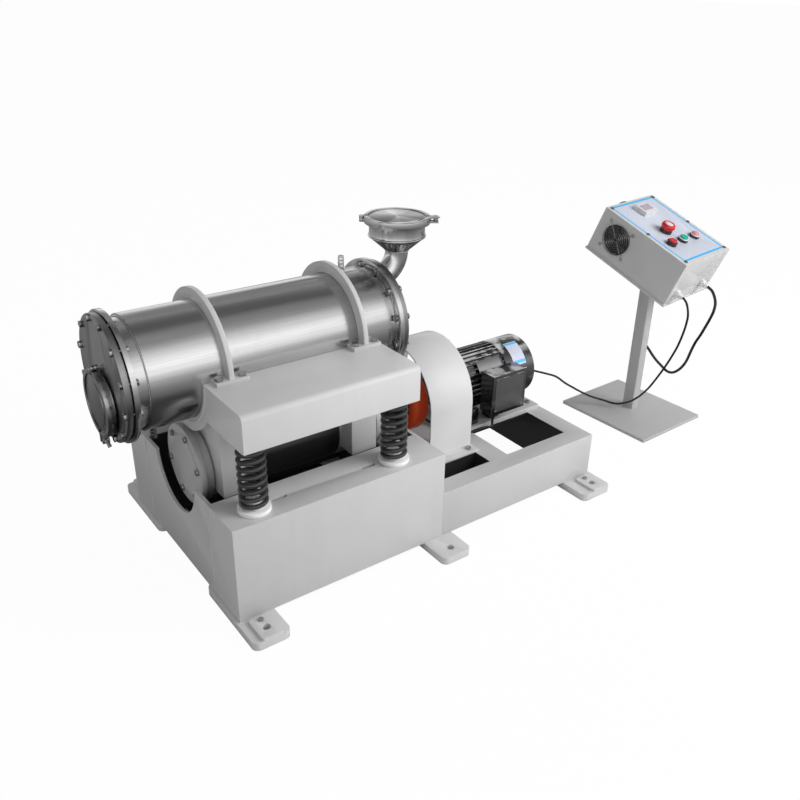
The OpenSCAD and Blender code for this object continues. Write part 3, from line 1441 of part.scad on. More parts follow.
foot_plates();
front_box();
rear_frame();
lower_spring_seats();
coupling_guard();
frame_screws();
motor_plate();
motor_frame();
motor_core();
motor_bearings();
motor_fan_cover();
terminal_box();
motor_rotor();
motor_hub();
coupling_tyre();
springs_near();
springs_far();
upper_spring_seats();
saddle();
exciter_housing();
exciter_covers();
exciter_bearings();
exciter_shaft();
eccentric_weights();
exciter_hub();
mill_drum();
end_covers();
gaskets();
mill_bolts();
grinding_balls();
hold_down_straps();
feed_hopper();
hopper_lid();
hopper_clamp_a();
hopper_clamp_b();
hopper_swing_bolt();
hopper_wing_nut();
discharge_cap();
discharge_clamp_a();
discharge_clamp_b();
discharge_swing_bolt();
discharge_wing_nut();
control_stand();
control_box();
back_plate();
control_panel();
panel_indicators();
button_bezels();
stop_button();
red_button();
green_button();
inverter();
fan_frame();
fan_guard();
fan_rotor();
cable_glands();
motor_cable();
supply_cord();
supply_coil();
mains_plug();
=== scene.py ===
"""The vibrating ball mill, dressed and lit for a studio picture.

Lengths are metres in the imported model's frame: floor at Z = 0, +X towards the motor and
the control stand, -Y the near side of the picture.
"""

import json
import logging
import math
from dataclasses import dataclass
from enum import Enum
from typing import Callable, Iterable, Mapping, Sequence

import bmesh
import bpy
from mathutils import Euler, Matrix, Vector

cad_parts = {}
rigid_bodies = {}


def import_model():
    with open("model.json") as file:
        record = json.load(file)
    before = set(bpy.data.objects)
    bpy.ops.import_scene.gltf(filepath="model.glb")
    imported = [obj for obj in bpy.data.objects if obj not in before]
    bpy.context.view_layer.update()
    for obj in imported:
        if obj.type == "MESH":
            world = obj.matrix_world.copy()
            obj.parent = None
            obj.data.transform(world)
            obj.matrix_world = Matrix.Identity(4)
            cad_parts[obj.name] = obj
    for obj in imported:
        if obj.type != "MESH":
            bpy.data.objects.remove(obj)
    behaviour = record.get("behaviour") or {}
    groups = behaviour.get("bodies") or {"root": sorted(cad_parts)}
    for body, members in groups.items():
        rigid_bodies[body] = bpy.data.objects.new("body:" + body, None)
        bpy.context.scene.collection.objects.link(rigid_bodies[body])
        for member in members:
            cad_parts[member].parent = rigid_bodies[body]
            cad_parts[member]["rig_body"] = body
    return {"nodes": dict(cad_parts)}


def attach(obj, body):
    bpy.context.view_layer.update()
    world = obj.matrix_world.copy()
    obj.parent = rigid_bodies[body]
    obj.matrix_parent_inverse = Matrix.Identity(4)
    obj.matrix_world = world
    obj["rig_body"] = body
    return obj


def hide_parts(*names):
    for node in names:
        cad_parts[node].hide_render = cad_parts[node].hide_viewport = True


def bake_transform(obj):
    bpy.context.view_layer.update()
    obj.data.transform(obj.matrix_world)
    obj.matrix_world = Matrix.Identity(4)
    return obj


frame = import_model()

LOG = logging.getLogger("ball_mill")
Colour = tuple[float, float, float]
Point = tuple[float, float, float]
SQUARE = ((-1, -1), (1, -1), (1, 1), (-1, 1))
SOFT_ANGLE = math.radians(40.0)


# Node trees


def maths(operation: str, flipped: bool = False) -> Callable[..., "Term"]:
    """Makes a method of Term that adds a Math node.

    Args:
        operation: The node's operation.
        flipped: Whether the term that the method belongs to comes last.

    Returns:
        The method, which takes the node's other values.
    """

    def method(self: "Term", *others: "Feed") -> "Term":
        """Adds the node and gives its value."""
        values = (*others, self) if flipped else (self, *others)
        return self.recipe.term(
            "ShaderNodeMath", {"operation": operation}, dict(enumerate(values))
        )

    return method


class Term:
    """A shader socket that takes part in arithmetic, so that sums read as sums."""

    __add__ = maths("ADD")
    __radd__ = maths("ADD", flipped=True)
    __sub__ = maths("SUBTRACT")
    __rsub__ = maths("SUBTRACT", flipped=True)
    __mul__ = maths("MULTIPLY")
    __rmul__ = maths("MULTIPLY", flipped=True)
    __truediv__ = maths("DIVIDE")
    __rtruediv__ = maths("DIVIDE", flipped=True)
    __gt__ = maths("GREATER_THAN")
    __lt__ = maths("LESS_THAN")
    __abs__ = maths("ABSOLUTE")
    sine = maths("SINE")
    cosine = maths("COSINE")
    angle_over = maths("ARCTAN2")
    larger = maths("MAXIMUM")
    smaller = maths("MINIMUM")

    def __init__(self, recipe: "Recipe", socket: bpy.types.NodeSocket) -> None:
        """Wraps one output socket.

        Args:
            recipe: The tree that the socket is in.
            socket: The output socket.
        """
        self.recipe = recipe
        self.socket = socket


Feed = Term | float | int | Sequence[float] | bpy.types.NodeSocket


class Recipe:
    """A node tree with the one method that fills it."""

    def __init__(self, tree: bpy.types.NodeTree) -> None:
        """Keeps the tree that the nodes go into."""
        self.tree = tree

    def node(
        self,
        kind: str,
        settings: Mapping[str, object] | None = None,
        sockets: Mapping[int | str, Feed] | None = None,
    ) -> bpy.types.Node:
        """Adds a node.

        Args:
            kind: The node's type name.
            settings: Values of the node's own properties, or a ramp's stops.
            sockets: A value or a link for each named or numbered input.

        Returns:
            The new node.
        """
        made = self.tree.nodes.new(kind)
        for name, value in (settings or {}).items():
            if name == "stops":
                ramp = made.color_ramp
                ramp.elements.remove(ramp.elements[1])
                ramp.elements[0].position = value[0][0]
                ramp.elements[0].color = (*value[0][1], 1.0)
                for place, colour in value[1:]:
                    ramp.elements.new(place).color = (*colour, 1.0)
            else:
                setattr(made, name, value)
        for key, feed in (sockets or {}).items():
            target = made.inputs[key]
            if isinstance(feed, Term):
                self.tree.links.new(feed.socket, target)
            elif isinstance(feed, bpy.types.NodeSocket):
                self.tree.links.new(feed, target)
            elif target.type == "RGBA" and len(feed) == 3:
                target.default_value = (*feed, 1.0)
            else:
                target.default_value = feed
        return made

    def term(
        self,
        kind: str,
        settings: Mapping[str, object] | None = None,
        sockets: Mapping[int | str, Feed] | None = None,
        output: int | str = 0,
    ) -> Term:
        """Adds a node and gives one of its outputs.

        Args:
            kind: The node's type name.
            settings: As for node.
            sockets: As for node.
            output: The name or number of the output.

        Returns:
            The output, ready for arithmetic.
        """
        return Term(self, self.node(kind, settings, sockets).outputs[output])


class Shader(Recipe):
    """A material's tree, with the textures that the finishes share."""

    def __init__(self, name: str) -> None:
        """Makes the material and its object coordinates."""
        self.material = bpy.data.materials.new(name)
        self.material.use_nodes = True
        super().__init__(self.material.node_tree)
        self.tree.nodes.clear()
        self.place = self.term("ShaderNodeTexCoord", output="Object")

    def stretched(self, scale: Point) -> Term:
        """Gives coordinates scaled by different amounts along X, Y and Z."""
        return self.term("ShaderNodeMapping", {"vector_type": "POINT"}, {0: self.place, 3: scale})

    def seen_from(self, centre: Point, turn: Point = (0.0, 0.0, 0.0)) -> Term:
        """Gives coordinates about a centre, in axes turned by Euler angles."""
        return self.term(
            "ShaderNodeMapping",
            {"vector_type": "TEXTURE"},
            {0: self.place, 1: centre, 2: turn},
        )

    def parts(self, place: Term) -> tuple[Term, Term, Term]:
        """Splits coordinates into X, Y and Z."""
        split = self.node("ShaderNodeSeparateXYZ", None, {0: place})
        return tuple(Term(self, out) for out in split.outputs)

    def noise(
        self, scale: float, detail: float = 3.0, rough: float = 0.5, place: Term | None = None
    ) -> Term:
        """Gives a cloudy value from 0 to 1.

        Args:
            scale: Lumps per metre of the coordinates.
            detail: How many finer layers are added.
            rough: How strong the finer layers are.
            place: Coordinates, or the object's own.

        Returns:
            The noise value.
        """
        return self.term(
            "ShaderNodeTexNoise",
            None,
            {"Vector": place or self.place, "Scale": scale, "Detail": detail, "Roughness": rough},
        )

    def span(
        self, value: Term, low: float, high: float, out_low: float = 0.0, out_high: float = 1.0
    ) -> Term:
        """Maps a range of values onto another, and stops at its ends."""
        return self.term(
            "ShaderNodeMapRange", None, {0: value, 1: low, 2: high, 3: out_low, 4: out_high}
        )

    def tint(self, share: Feed, first: Feed, second: Feed) -> Term:
        """Blends two colours by a share of the second."""
        return self.term(
            "ShaderNodeMix",
            {"data_type": "RGBA", "clamp_factor": True},
            {0: share, 6: first, 7: second},
            output=2,
        )

    def relief(self, height: Term, depth: float, strength: float = 1.0) -> Term:
        """Turns a height value into a bumped normal.

        Args:
            height: Value from 0 to 1.
            depth: What a height of 1 is in metres.
            strength: How much of it shows.

        Returns:
            The normal.
        """
        return self.term(
            "ShaderNodeBump", None, {"Height": height, "Distance": depth, "Strength": strength}
        )

    def surface(
        self,
        colour: Feed,
        roughness: Feed,
        metallic: float = 0.0,
        normal: Term | None = None,
        **fixed: float,
    ) -> None:
        """Ends the tree in a shader.

        Args:
            colour: Base colour.
            roughness: Roughness.
            metallic: 1 for bare metal.
            normal: The normal from relief.
            **fixed: Other sockets with underscores for spaces.
        """
        sockets = {"Base Color": colour, "Roughness": roughness, "Metallic": metallic}
        if normal is not None:
            sockets["Normal"] = normal
        sockets.update({key.replace("_", " "): value for key, value in fixed.items()})
        shader = self.node("ShaderNodeBsdfPrincipled", None, sockets)
        self.node("ShaderNodeOutputMaterial", None, {"Surface": shader.outputs[0]})


# Finishes


# UNLIT is the colour of painted shade, GLINT the colour of painted highlight.
UNLIT: Colour = (0.022, 0.022, 0.022)
GLINT: Colour = (0.85, 0.85, 0.86)
CTL_CENTRE: Point = (0.918, -0.075, 0.5095)
CTL_TURN: Point = (math.radians(21.3), 0.0, math.radians(7.5))
DRUM_Z = 0.477
AXIS_Z = 0.241


def grey(level: float) -> Colour:
    """Gives a grey with a breath of blue, as all the machine's paint and steel have."""
    return (level, level, level + 0.005)


@dataclass(frozen=True)
class Finish:
    """A named finish whose material is made once."""

    name: str
    colour: Colour
    roughness: float = 0.5

    def material(self) -> bpy.types.Material:
        """Gives the material, and makes it the first time."""
        found = bpy.data.materials.get(self.name)
        if found is not None:
            return found
        shader = Shader(self.name)
        self.dress(shader)
        return shader.material

    def dress(self, shader: Shader) -> None:
        """Fills the material's tree."""
        shader.surface(self.colour, self.roughness)

    def shaded(self, factor: float) -> Colour:
        """Gives the colour, lighter or darker by a factor."""
        return tuple(min(1.0, part * factor) for part in self.colour)


@dataclass(frozen=True)
class Paint(Finish):
    """Sprayed machine paint: faint clouds, orange peel and a little handling dirt.

    Inside the box from dark_low to dark_high it is painted nearly black, a painted shade as in unlit
    hollows, and glints is the share of painted broken white highlight on the faces that look up.
    """

    peel: float = 0.00012
    coat: float = 0.12
    dirt: float = 0.10
    coat_index: float = 1.5
    dark_low: Point | None = None
    dark_high: Point | None = None
    glints: float = 0.0

    def dress(self, shader: Shader) -> None:
        """Fills the material's tree."""
        clouds = shader.noise(5.0, 4.0, 0.6)
        runs = shader.noise(1.0, 3.0, 0.5, shader.stretched((26.0, 26.0, 3.0)))
        specks = shader.span(shader.noise(90.0, 2.0, 0.6), 0.66, 0.76)
        worn = shader.span(clouds, 0.35, 0.7) * 0.5 + shader.span(runs, 0.4, 0.75) * 0.5
        base = shader.tint(worn, self.shaded(1.02), self.shaded(0.96))
        dirt_and_painted_light = shader.tint(specks * self.dirt, base, self.shaded(0.5))
        # painted shade: nearly black inside the box from dark_low to dark_high, where hollows are
        # unlit
        if self.dark_low and self.dark_high:
            shade: Term | float = 1.0
            for part, low, high in zip(shader.parts(shader.place), self.dark_low, self.dark_high):
                shade = shade * ((part > low) * (part < high))
            dirt_and_painted_light = shader.tint(shade, dirt_and_painted_light, UNLIT)
        # painted highlight: broken white on the faces that look up, by the share glints
        if self.glints:
            facing = shader.term("ShaderNodeNewGeometry", output="Normal")
            up = shader.span(shader.parts(facing)[2], 0.70, 0.92)
            broken = shader.span(shader.noise(26.0, 2.0, 0.5), 0.44, 0.54)
            dirt_and_painted_light = shader.tint(up * broken * self.glints, dirt_and_painted_light, GLINT)
        rough = self.roughness + shader.span(clouds, 0.3, 0.7, -0.05, 0.07)
        peel = shader.noise(420.0, 2.0, 0.4)
        shader.surface(
            dirt_and_painted_light,
            rough,
            normal=shader.relief(peel, self.peel, 0.6),
            Coat_Weight=self.coat,
            Coat_Roughness=0.18,
            Coat_IOR=self.coat_index,
        )


class Lay(Enum):
    """Which way the polishing marks of a metal run."""

    ROUND_Z = (9.0, 9.0, 800.0)
    ALONG_X = (4.0, 420.0, 420.0)
    CLOUDY = (160.0, 160.0, 160.0)


@dataclass(frozen=True)
class Steel(Finish):
    """Polished or brushed metal with fine marks one way and soft streaks the other.

    Below shadow_z its colour is painted darker, a painted reflection of the dark under it.
    """

    lay: Lay = Lay.CLOUDY
    grain: float = 0.00003
    streaks: float = 0.25
    shadow_z: float | None = None

    def dress(self, shader: Shader) -> None:
        """Fills the material's tree."""
        marks = shader.noise(1.0, 3.0, 0.7, shader.stretched(self.lay.value))
        across = (28.0, 28.0, 3.0) if self.lay is Lay.ROUND_Z else (1.6, 30.0, 30.0)
        streak = shader.noise(1.0, 3.0, 0.55, shader.stretched(across))
        stains = shader.noise(14.0, 4.0, 0.65)
        shade = (
            shader.span(streak, 0.35, 0.68) * self.streaks
            + shader.span(marks, 0.3, 0.7) * 0.12
            + shader.span(stains, 0.55, 0.8) * 0.12
        )
        colour = shader.tint(shade, self.colour, self.shaded(0.45))
        # painted reflection: the colour darkens below shadow_z, where the metal mirrors the dark
        # under it
        if self.shadow_z:
            height = shader.parts(shader.place)[2] + (stains - 0.5) * 0.03
            low = shader.span(height, self.shadow_z - 0.035, self.shadow_z + 0.03, 0.62, 0.0)
            colour = shader.tint(low, colour, self.shaded(0.12))
        rough = self.roughness + shader.span(marks, 0.3, 0.7, -0.05, 0.08) + stains * 0.06
        shader.surface(
            colour, rough, 1.0, shader.relief(marks, self.grain, 0.5), Specular_IOR_Level=0.5
        )


@dataclass(frozen=True)
class TurnedDisc(Finish):
    """A metal face turned on a lathe, with rings and painted fans of reflected light about its own
    centre.
    """

    centre: Point = (0.0, 0.0, 0.0)
    axis: str = "Z"
    pitch: float = 0.0011
    groove: float = 0.00004
    fans: float = 0.0
    fan_turn: float = 0.0

    def dress(self, shader: Shader) -> None:
        """Fills the material's tree."""
        about = shader.seen_from(self.centre)
        rings = shader.term(
            "ShaderNodeTexWave",
            {"wave_type": "RINGS", "rings_direction": self.axis, "wave_profile": "SIN"},
            {"Vector": about, "Scale": math.tau / 20.0 / self.pitch, "Distortion": 0.6,
             "Detail": 2.0, "Detail Scale": 1.5},
        )
        stains = shader.noise(22.0, 4.0, 0.6)
        x, y, z = shader.parts(about)
        angle = y.angle_over(x if self.axis == "Z" else z)
        # painted reflection: fans of light by the angle about the centre, as a turned face reflects
        fan = (angle * 2.0 + self.fan_turn).cosine() * 0.5 + (angle * 7.0).cosine() * 0.12 + 0.5
        shade = shader.span(stains, 0.4, 0.75) * 0.30 + rings * 0.12 + fan * self.fans
        colour = shader.tint(shade, self.colour, self.shaded(0.40))
        rough = self.roughness + stains * 0.1
        shader.surface(colour, rough, 1.0, shader.relief(rings, self.groove, 0.8))


@dataclass(frozen=True)
class Moulded(Finish):
    """Moulded plastic or rubber with a fine grain."""

    grain: float = 0.00008
    grain_scale: float = 900.0
    coat: float = 0.0

    def dress(self, shader: Shader) -> None:
        """Fills the material's tree."""
        fine = shader.noise(self.grain_scale, 2.0, 0.6)
        smears = shader.noise(30.0, 3.0, 0.55)
        colour = shader.tint(
            shader.span(smears, 0.35, 0.75), self.shaded(0.94), self.shaded(1.08)
        )
        rough = self.roughness + shader.span(smears, 0.35, 0.7, -0.06, 0.08)
        shader.surface(
            colour,
            rough,
            normal=shader.relief(fine, self.grain, 0.6),
            Coat_Weight=self.coat,
            Coat_Roughness=0.08,
        )


@dataclass(frozen=True)
class Casting(Finish):
    """A dark machined or cast iron surface."""

    def dress(self, shader: Shader) -> None:
        """Fills the material's tree."""
        coarse = shader.noise(260.0, 4.0, 0.7)
        stains = shader.noise(18.0, 4.0, 0.6)
        colour = shader.tint(shader.span(stains, 0.35, 0.7), self.shaded(0.8), self.shaded(1.3))
        shader.surface(
            colour, self.roughness + stains * 0.1, 0.7, shader.relief(coarse, 0.0002, 0.5)
        )


@dataclass(frozen=True)
class GlandPlastic(Finish):
    """Pale plastic, but black where the motor cable starts and is clipped."""

    dark_before_x: float = 0.6

    def dress(self, shader: Shader) -> None:
        """Fills the material's tree."""
        along, _, _ = shader.parts(shader.place)
        fine = shader.noise(700.0, 2.0, 0.6)
        smears = shader.noise(40.0, 3.0, 0.55)
        pale = shader.tint(smears, self.shaded(0.95), self.shaded(1.03))
        colour = shader.tint(along < self.dark_before_x, pale, (0.03, 0.03, 0.03))
        shader.surface(colour, self.roughness + smears * 0.1, normal=shader.relief(fine, 0.0001))


@dataclass(frozen=True)
class PanelPrint(Finish):
    """The front plate: pale lavender with a sky blue line round it and a bare margin."""

    centre: Point = (0.0, 0.0, 0.0)
    turn: Point = (0.0, 0.0, 0.0)
    left: float = -0.104
    right: float = 0.104
    low: float = -0.1285
    high: float = 0.1345
    line: float = 0.0065

    def dress(self, shader: Shader) -> None:
        """Fills the material's tree."""
        across, up, _ = shader.parts(shader.seen_from(self.centre, self.turn))
        side = abs(across - (self.left + self.right) / 2)
        end = abs(up - (self.low + self.high) / 2)
        half_w, half_h = (self.right - self.left) / 2, (self.high - self.low) / 2
        outer = (side < half_w) * (end < half_h)
        inner = (side < half_w - self.line) * (end < half_h - self.line)
        clouds = shader.noise(12.0, 3.0, 0.5)
        field = shader.tint(clouds, self.shaded(0.97), self.shaded(1.02))
        margin = shader.tint(outer, (0.66, 0.645, 0.63), (0.03, 0.47, 0.92))
        colour = shader.tint(inner, margin, field)
        fine = shader.noise(800.0, 2.0, 0.5)
        shader.surface(
            colour,
            self.roughness + clouds * 0.08,
            normal=shader.relief(fine, 0.00003, 0.5),
            Coat_Weight=0.2,
            Coat_Roughness=0.15,
        )


class Shop:
    """Every finish on the machine, by its place."""

    BASE = Paint("base_grey_paint", grey(0.575), 0.40)
    # FRONT and REAR take painted shade: nearly black inside the base's well and the frame's windows
    FRONT = Paint("front_box_grey_paint", grey(0.575), 0.40,
                  dark_low=(-0.4935, -0.1662, -0.1), dark_high=(0.02, 0.1662, 0.2352))
    REAR = Paint("rear_frame_grey_paint", grey(0.575), 0.40,
                 dark_low=(0.02, -0.2262, -0.1), dark_high=(0.492, 0.2262, 0.1315))
    SADDLE = Paint("saddle_grey_paint", grey(0.655), 0.38)
    GUARD = Paint("guard_grey_paint", grey(0.66), 0.34)
    STRAP = Paint("strap_grey_paint", grey(0.58), 0.36)
    FEET = Paint("foot_grey_paint", (0.62, 0.62, 0.62), 0.42)
    EXCITER = Paint("exciter_grey_paint", grey(0.50), 0.36)
    # painted shade: the housing's middle, seen between the legs, is nearly black
    HOUSING = Paint("housing_grey_paint", grey(0.50), 0.32, 0.0002, 0.5,
                    dark_low=(-0.36, -1.0, -1.0), dark_high=(-0.14, 1.0, 1.0))
    STAND = Paint("stand_grey_paint", grey(0.455), 0.42)
    BOX = Paint("box_pale_paint", grey(0.60), 0.40)
    # painted highlight: glints on the motor's faces that look up
    MOTOR = Paint("motor_black_paint", (0.007, 0.007, 0.008), 0.26, 0.0002, 1.0, 0.3, 1.75,
                  glints=0.75)
    # painted highlight: glints on the lid's faces that look up
    LID = Paint("terminal_lid_paint", (0.060, 0.060, 0.062), 0.34, 0.0002, 0.6, 0.2, 1.6,
                glints=0.9)
    SPRING = Paint("spring_black_paint", (0.035, 0.035, 0.036), 0.36, 0.0001, 0.3, 0.2)
    # painted reflection: the drum darkens below shadow_z 0.425
    DRUM = Steel("drum_stainless", (0.68, 0.68, 0.682), 0.17, Lay.ALONG_X, 0.000006, 0.30, 0.425)
    HOPPER = Steel("hopper_stainless", grey(0.66), 0.15, Lay.ROUND_Z, 0.000004, 0.45)
    CLAMP = Steel("clamp_cast_stainless", grey(0.66), 0.18, Lay.CLOUDY, 0.00001, 0.2)
    # a darker copy of the clamp steel: painted shade for the dark that the port clamp reflects
    PORT_CLAMP = Steel("port_clamp_stainless", grey(0.38), 0.17, Lay.CLOUDY, 0.00001, 0.3)
    ZINC = Steel("zinc_fastener", (0.42, 0.42, 0.43), 0.20, Lay.CLOUDY, 0.00002, 0.2)
    GROUND = Steel("ground_bearing_steel", (0.50, 0.50, 0.51), 0.18, Lay.CLOUDY, 0.00002, 0.1)
    COVER = TurnedDisc("end_cover_dark", grey(0.36), 0.30, (-0.6, 0.0, DRUM_Z), "X",
                       groove=0.00002)
    # painted reflection: strong fans of light on the turned hopper lid
    LID_DISC = TurnedDisc("hopper_lid_turned", grey(0.92), 0.20, (0.069, 0.0, 0.69), "Z",
                          0.0009, 0.00003, 1.35, 0.6)
    CAP_DISC = TurnedDisc("discharge_cap_turned", grey(0.30), 0.24, (-0.63, 0.0, 0.43), "X",
                          groove=0.00002)
    CAST = Casting("cast_iron_dark", (0.05, 0.05, 0.052), 0.42)
    COPPER = Casting("copper_windings", (0.42, 0.17, 0.08), 0.35)
    TYRE = Moulded("orange_tyre_rubber", (0.86, 0.085, 0.008), 0.50)
    GASKET = Moulded("white_gasket_rubber", (0.72, 0.72, 0.70), 0.5)
    SEAT = Moulded("white_seat_plastic", (0.96, 0.96, 0.95), 0.40)
    GLAND = GlandPlastic("gland_plastic", (0.74, 0.74, 0.73), 0.42)
    BLACK = Moulded("moulded_black", (0.015, 0.015, 0.016), 0.36, 0.00006, 700.0, 0.2)
    CORD = Moulded("cord_black_rubber", (0.010, 0.010, 0.010), 0.42, 0.00004, 1500.0)
    RED = Moulded("red_button_plastic", (0.66, 0.006, 0.012), 0.22, 0.00002, 900.0, 0.5)
    GREEN = Moulded("green_button_plastic", (0.0, 0.46, 0.32), 0.25, 0.00002, 900.0, 0.5)
    PALE = Moulded("pale_plastic", (0.74, 0.74, 0.75), 0.30, 0.00003, 900.0, 0.3)
    PINK = Moulded("pink_lens", (0.75, 0.28, 0.30), 0.18, 0.00002, 900.0, 0.6)
    SCREEN = Moulded("display_window", (0.50, 0.42, 0.54), 0.10, 0.00001, 900.0, 0.8)
    CREAM = Moulded("display_body", (0.74, 0.72, 0.72), 0.35, 0.00003, 900.0, 0.2)
    PLATE = Steel("bare_nameplate", (0.42, 0.42, 0.43), 0.30, Lay.ALONG_X, 0.00001, 0.2)
    STICKER = Moulded("bare_sticker", (0.62, 0.65, 0.80), 0.30, 0.00001, 900.0, 0.3)
    BLUE = Moulded("sticker_blue", (0.07, 0.50, 0.88), 0.30, 0.00001, 900.0, 0.3)
    PANEL = PanelPrint("printed_panel_sheet", (0.62, 0.66, 0.76), 0.32, CTL_CENTRE, CTL_TURN)


# Mesh helpers


def finished(
    shape: bmesh.types.BMesh, name: str, edge: float = 0.0, outward: bool = True
) -> bpy.types.Mesh:
    """Turns a built shape into a mesh and frees it.

    Args:
        shape: The shape.
        name: The mesh's name.
        edge: Width of the bevel on every edge.
        outward: Whether its faces still have to be turned outwards.

    Returns:
        The mesh.
    """
    if outward:
        bmesh.ops.recalc_face_normals(shape, faces=shape.faces)
    if edge:
        bmesh.ops.bevel(shape, geom=shape.edges[:], offset=edge, segments=2, affect="EDGES",
                        profile=0.7)
    mesh = bpy.data.meshes.new(name)
    shape.to_mesh(mesh)
    shape.free()
    return mesh


def skin(
    shape: bmesh.types.BMesh, one: Sequence[bmesh.types.BMVert], two: Sequence[bmesh.types.BMVert]
) -> None:
    """Joins two loops of as many corners by a band of faces."""
    for k in range(len(one)):
        n = (k + 1) % len(one)
        shape.faces.new((one[k], one[n], two[n], two[k]))


def shown(name: str, data: bpy.types.ID) -> bpy.types.Object:
    """Puts an object with this data into the scene."""
    made = bpy.data.objects.new(name, data)
    bpy.context.scene.collection.objects.link(made)
    return made


def evaluated(holder: bpy.types.Object) -> bpy.types.Mesh:
    """Gives an object's mesh with its modifiers applied, and removes the object."""
    made = bpy.data.meshes.new_from_object(
        holder.evaluated_get(bpy.context.evaluated_depsgraph_get())
    )
    bpy.data.objects.remove(holder)
    return made


def packed_piece(
    name: str, mesh: bpy.types.Mesh, finish: Finish, body: str, smooth: float = 35.0
) -> bpy.types.Object:
    """Puts a mesh into the scene as a piece of the machine.

    Args:
        name: The piece's name.
        mesh: Its mesh, in the model's frame.
        finish: What it is finished with.
        body: The body that it rides on.
        smooth: Edges sharper than this many degrees stay sharp.

    Returns:
        The piece.
    """
    mesh.name = name
    if not mesh.materials:
        mesh.materials.append(finish.material())
    mesh.shade_smooth()
    mesh.set_sharp_from_angle(angle=math.radians(smooth))
    piece = shown(name, mesh)
    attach(piece, body)
    LOG.info("%s rides on %s", name, body)
    return piece


def stand_in(
    node: str, name: str, mesh: bpy.types.Mesh, finish: Finish, smooth: float = 35.0
) -> bpy.types.Object:
    """Puts a mesh into the scene in place of a CAD node, or of a part of it.

    Args:
        node: The node, whose body the piece takes.
        name: The piece's name.
        mesh: Its mesh, in the model's frame.
        finish: What it is finished with.
        smooth: Edges sharper than this many degrees stay sharp.

    Returns:
        The piece.
    """
    piece = packed_piece(name, mesh, finish, frame["nodes"][node]["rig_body"], smooth)
    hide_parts(node)
    return piece


def turned(
    profile: Sequence[tuple[float, float]], at: Matrix, steps: int = 64
) -> bpy.types.Mesh:
    """Turns a profile about the Z axis of a frame into a closed mesh.

    Args:
        profile: Pairs of radius and height, from one end of the axis to the other.
        at: The frame, whose Z is the axis.
        steps: Faces round the axis.

    Returns:
        The mesh, in the model's frame.
    """
    shape = bmesh.new()
    rings = []
    for radius, height in profile:
        if radius < 1e-6:
            rings.append([shape.verts.new(at @ Vector((0.0, 0.0, height)))])
            continue
        turns = (math.tau * k / steps for k in range(steps))
        rings.append(
            [shape.verts.new(at @ Vector((radius * math.cos(a), radius * math.sin(a), height)))
             for a in turns]
        )
    for low, high in zip(rings, rings[1:]):
        for k in range(steps):
            corners = [low[k % len(low)], low[(k + 1) % len(low)],
                       high[(k + 1) % len(high)], high[k % len(high)]]
            unique = list(dict.fromkeys(corners))
            if len(unique) > 2:
                shape.faces.new(unique)
    for ring in (rings[0], rings[-1]):
        if len(ring) > 1:
            shape.faces.new(ring)
    return finished(shape, "turned")


def slab(corners: Sequence[Vector], lift: Vector, edge: float = 0.0) -> bpy.types.Mesh:
    """Makes a plate from an outline and a thickness, with softened edges.

    Args:
        corners: The outline of its lower face.
        lift: From the lower face to the upper one.
        edge: Width of the bevel on every edge.

    Returns:
        The mesh, in the model's frame.
    """
    shape = bmesh.new()
    low = [shape.verts.new(c) for c in corners]
    high = [shape.verts.new(c + lift) for c in corners]
    shape.faces.new(low)
    shape.faces.new(high)
    skin(shape, low, high)
    return finished(shape, "slab", edge)


def softened(node: str, finish: Finish, edge: float) -> bpy.types.Object:
    """Replaces a CAD node by its own shape with softened edges.

    Args:
        node: The node's name.
        finish: What it is finished with.
        edge: Width of the bevel on edges sharper than SOFT_ANGLE, in metres.

    Returns:
        The piece that stands for the node.
    """
    shape = bmesh.new()
    shape.from_mesh(frame["nodes"][node].data)
    bmesh.ops.remove_doubles(shape, verts=shape.verts, dist=2e-6)
    bmesh.ops.dissolve_limit(
        shape, angle_limit=math.radians(0.4), verts=shape.verts, edges=shape.edges
    )
    holder = shown(node + "_soft", finished(shape, node + "_soft", outward=False))
    holder.data.materials.clear()
    bevel = holder.modifiers.new("edges", "BEVEL")
    bevel.width = edge
    bevel.segments = 2
    bevel.limit_method = "ANGLE"
    bevel.angle_limit = SOFT_ANGLE
    bevel.use_clamp_overlap = True
    return stand_in(node, node + "_soft", evaluated(holder), finish, 30.0)


def smooth_line(points: Sequence[Vector], steps: int) -> list[Vector]:
    """Runs a smooth curve through points.

    Args:
        points: The points.
        steps: How many short lengths each gap is cut into.

    Returns:
        The curve's points.
    """
    line = []
    last = len(points) - 1
    for i in range(last):
        a, b, c, d = (points[max(i - 1, 0)], points[i], points[i + 1], points[min(i + 2, last)])
        for s in range(steps):
            u = s / steps
            line.append(0.5 * (2 * b + (c - a) * u + (2 * a - 5 * b + 4 * c - d) * u * u
                               + (3 * b - a - 3 * c + d) * u ** 3))
    return line + [points[last]]


def length_of(line: Sequence[Vector]) -> float:
    """Measures a line of points."""
    return sum((b - a).length for a, b in zip(line, line[1:]))


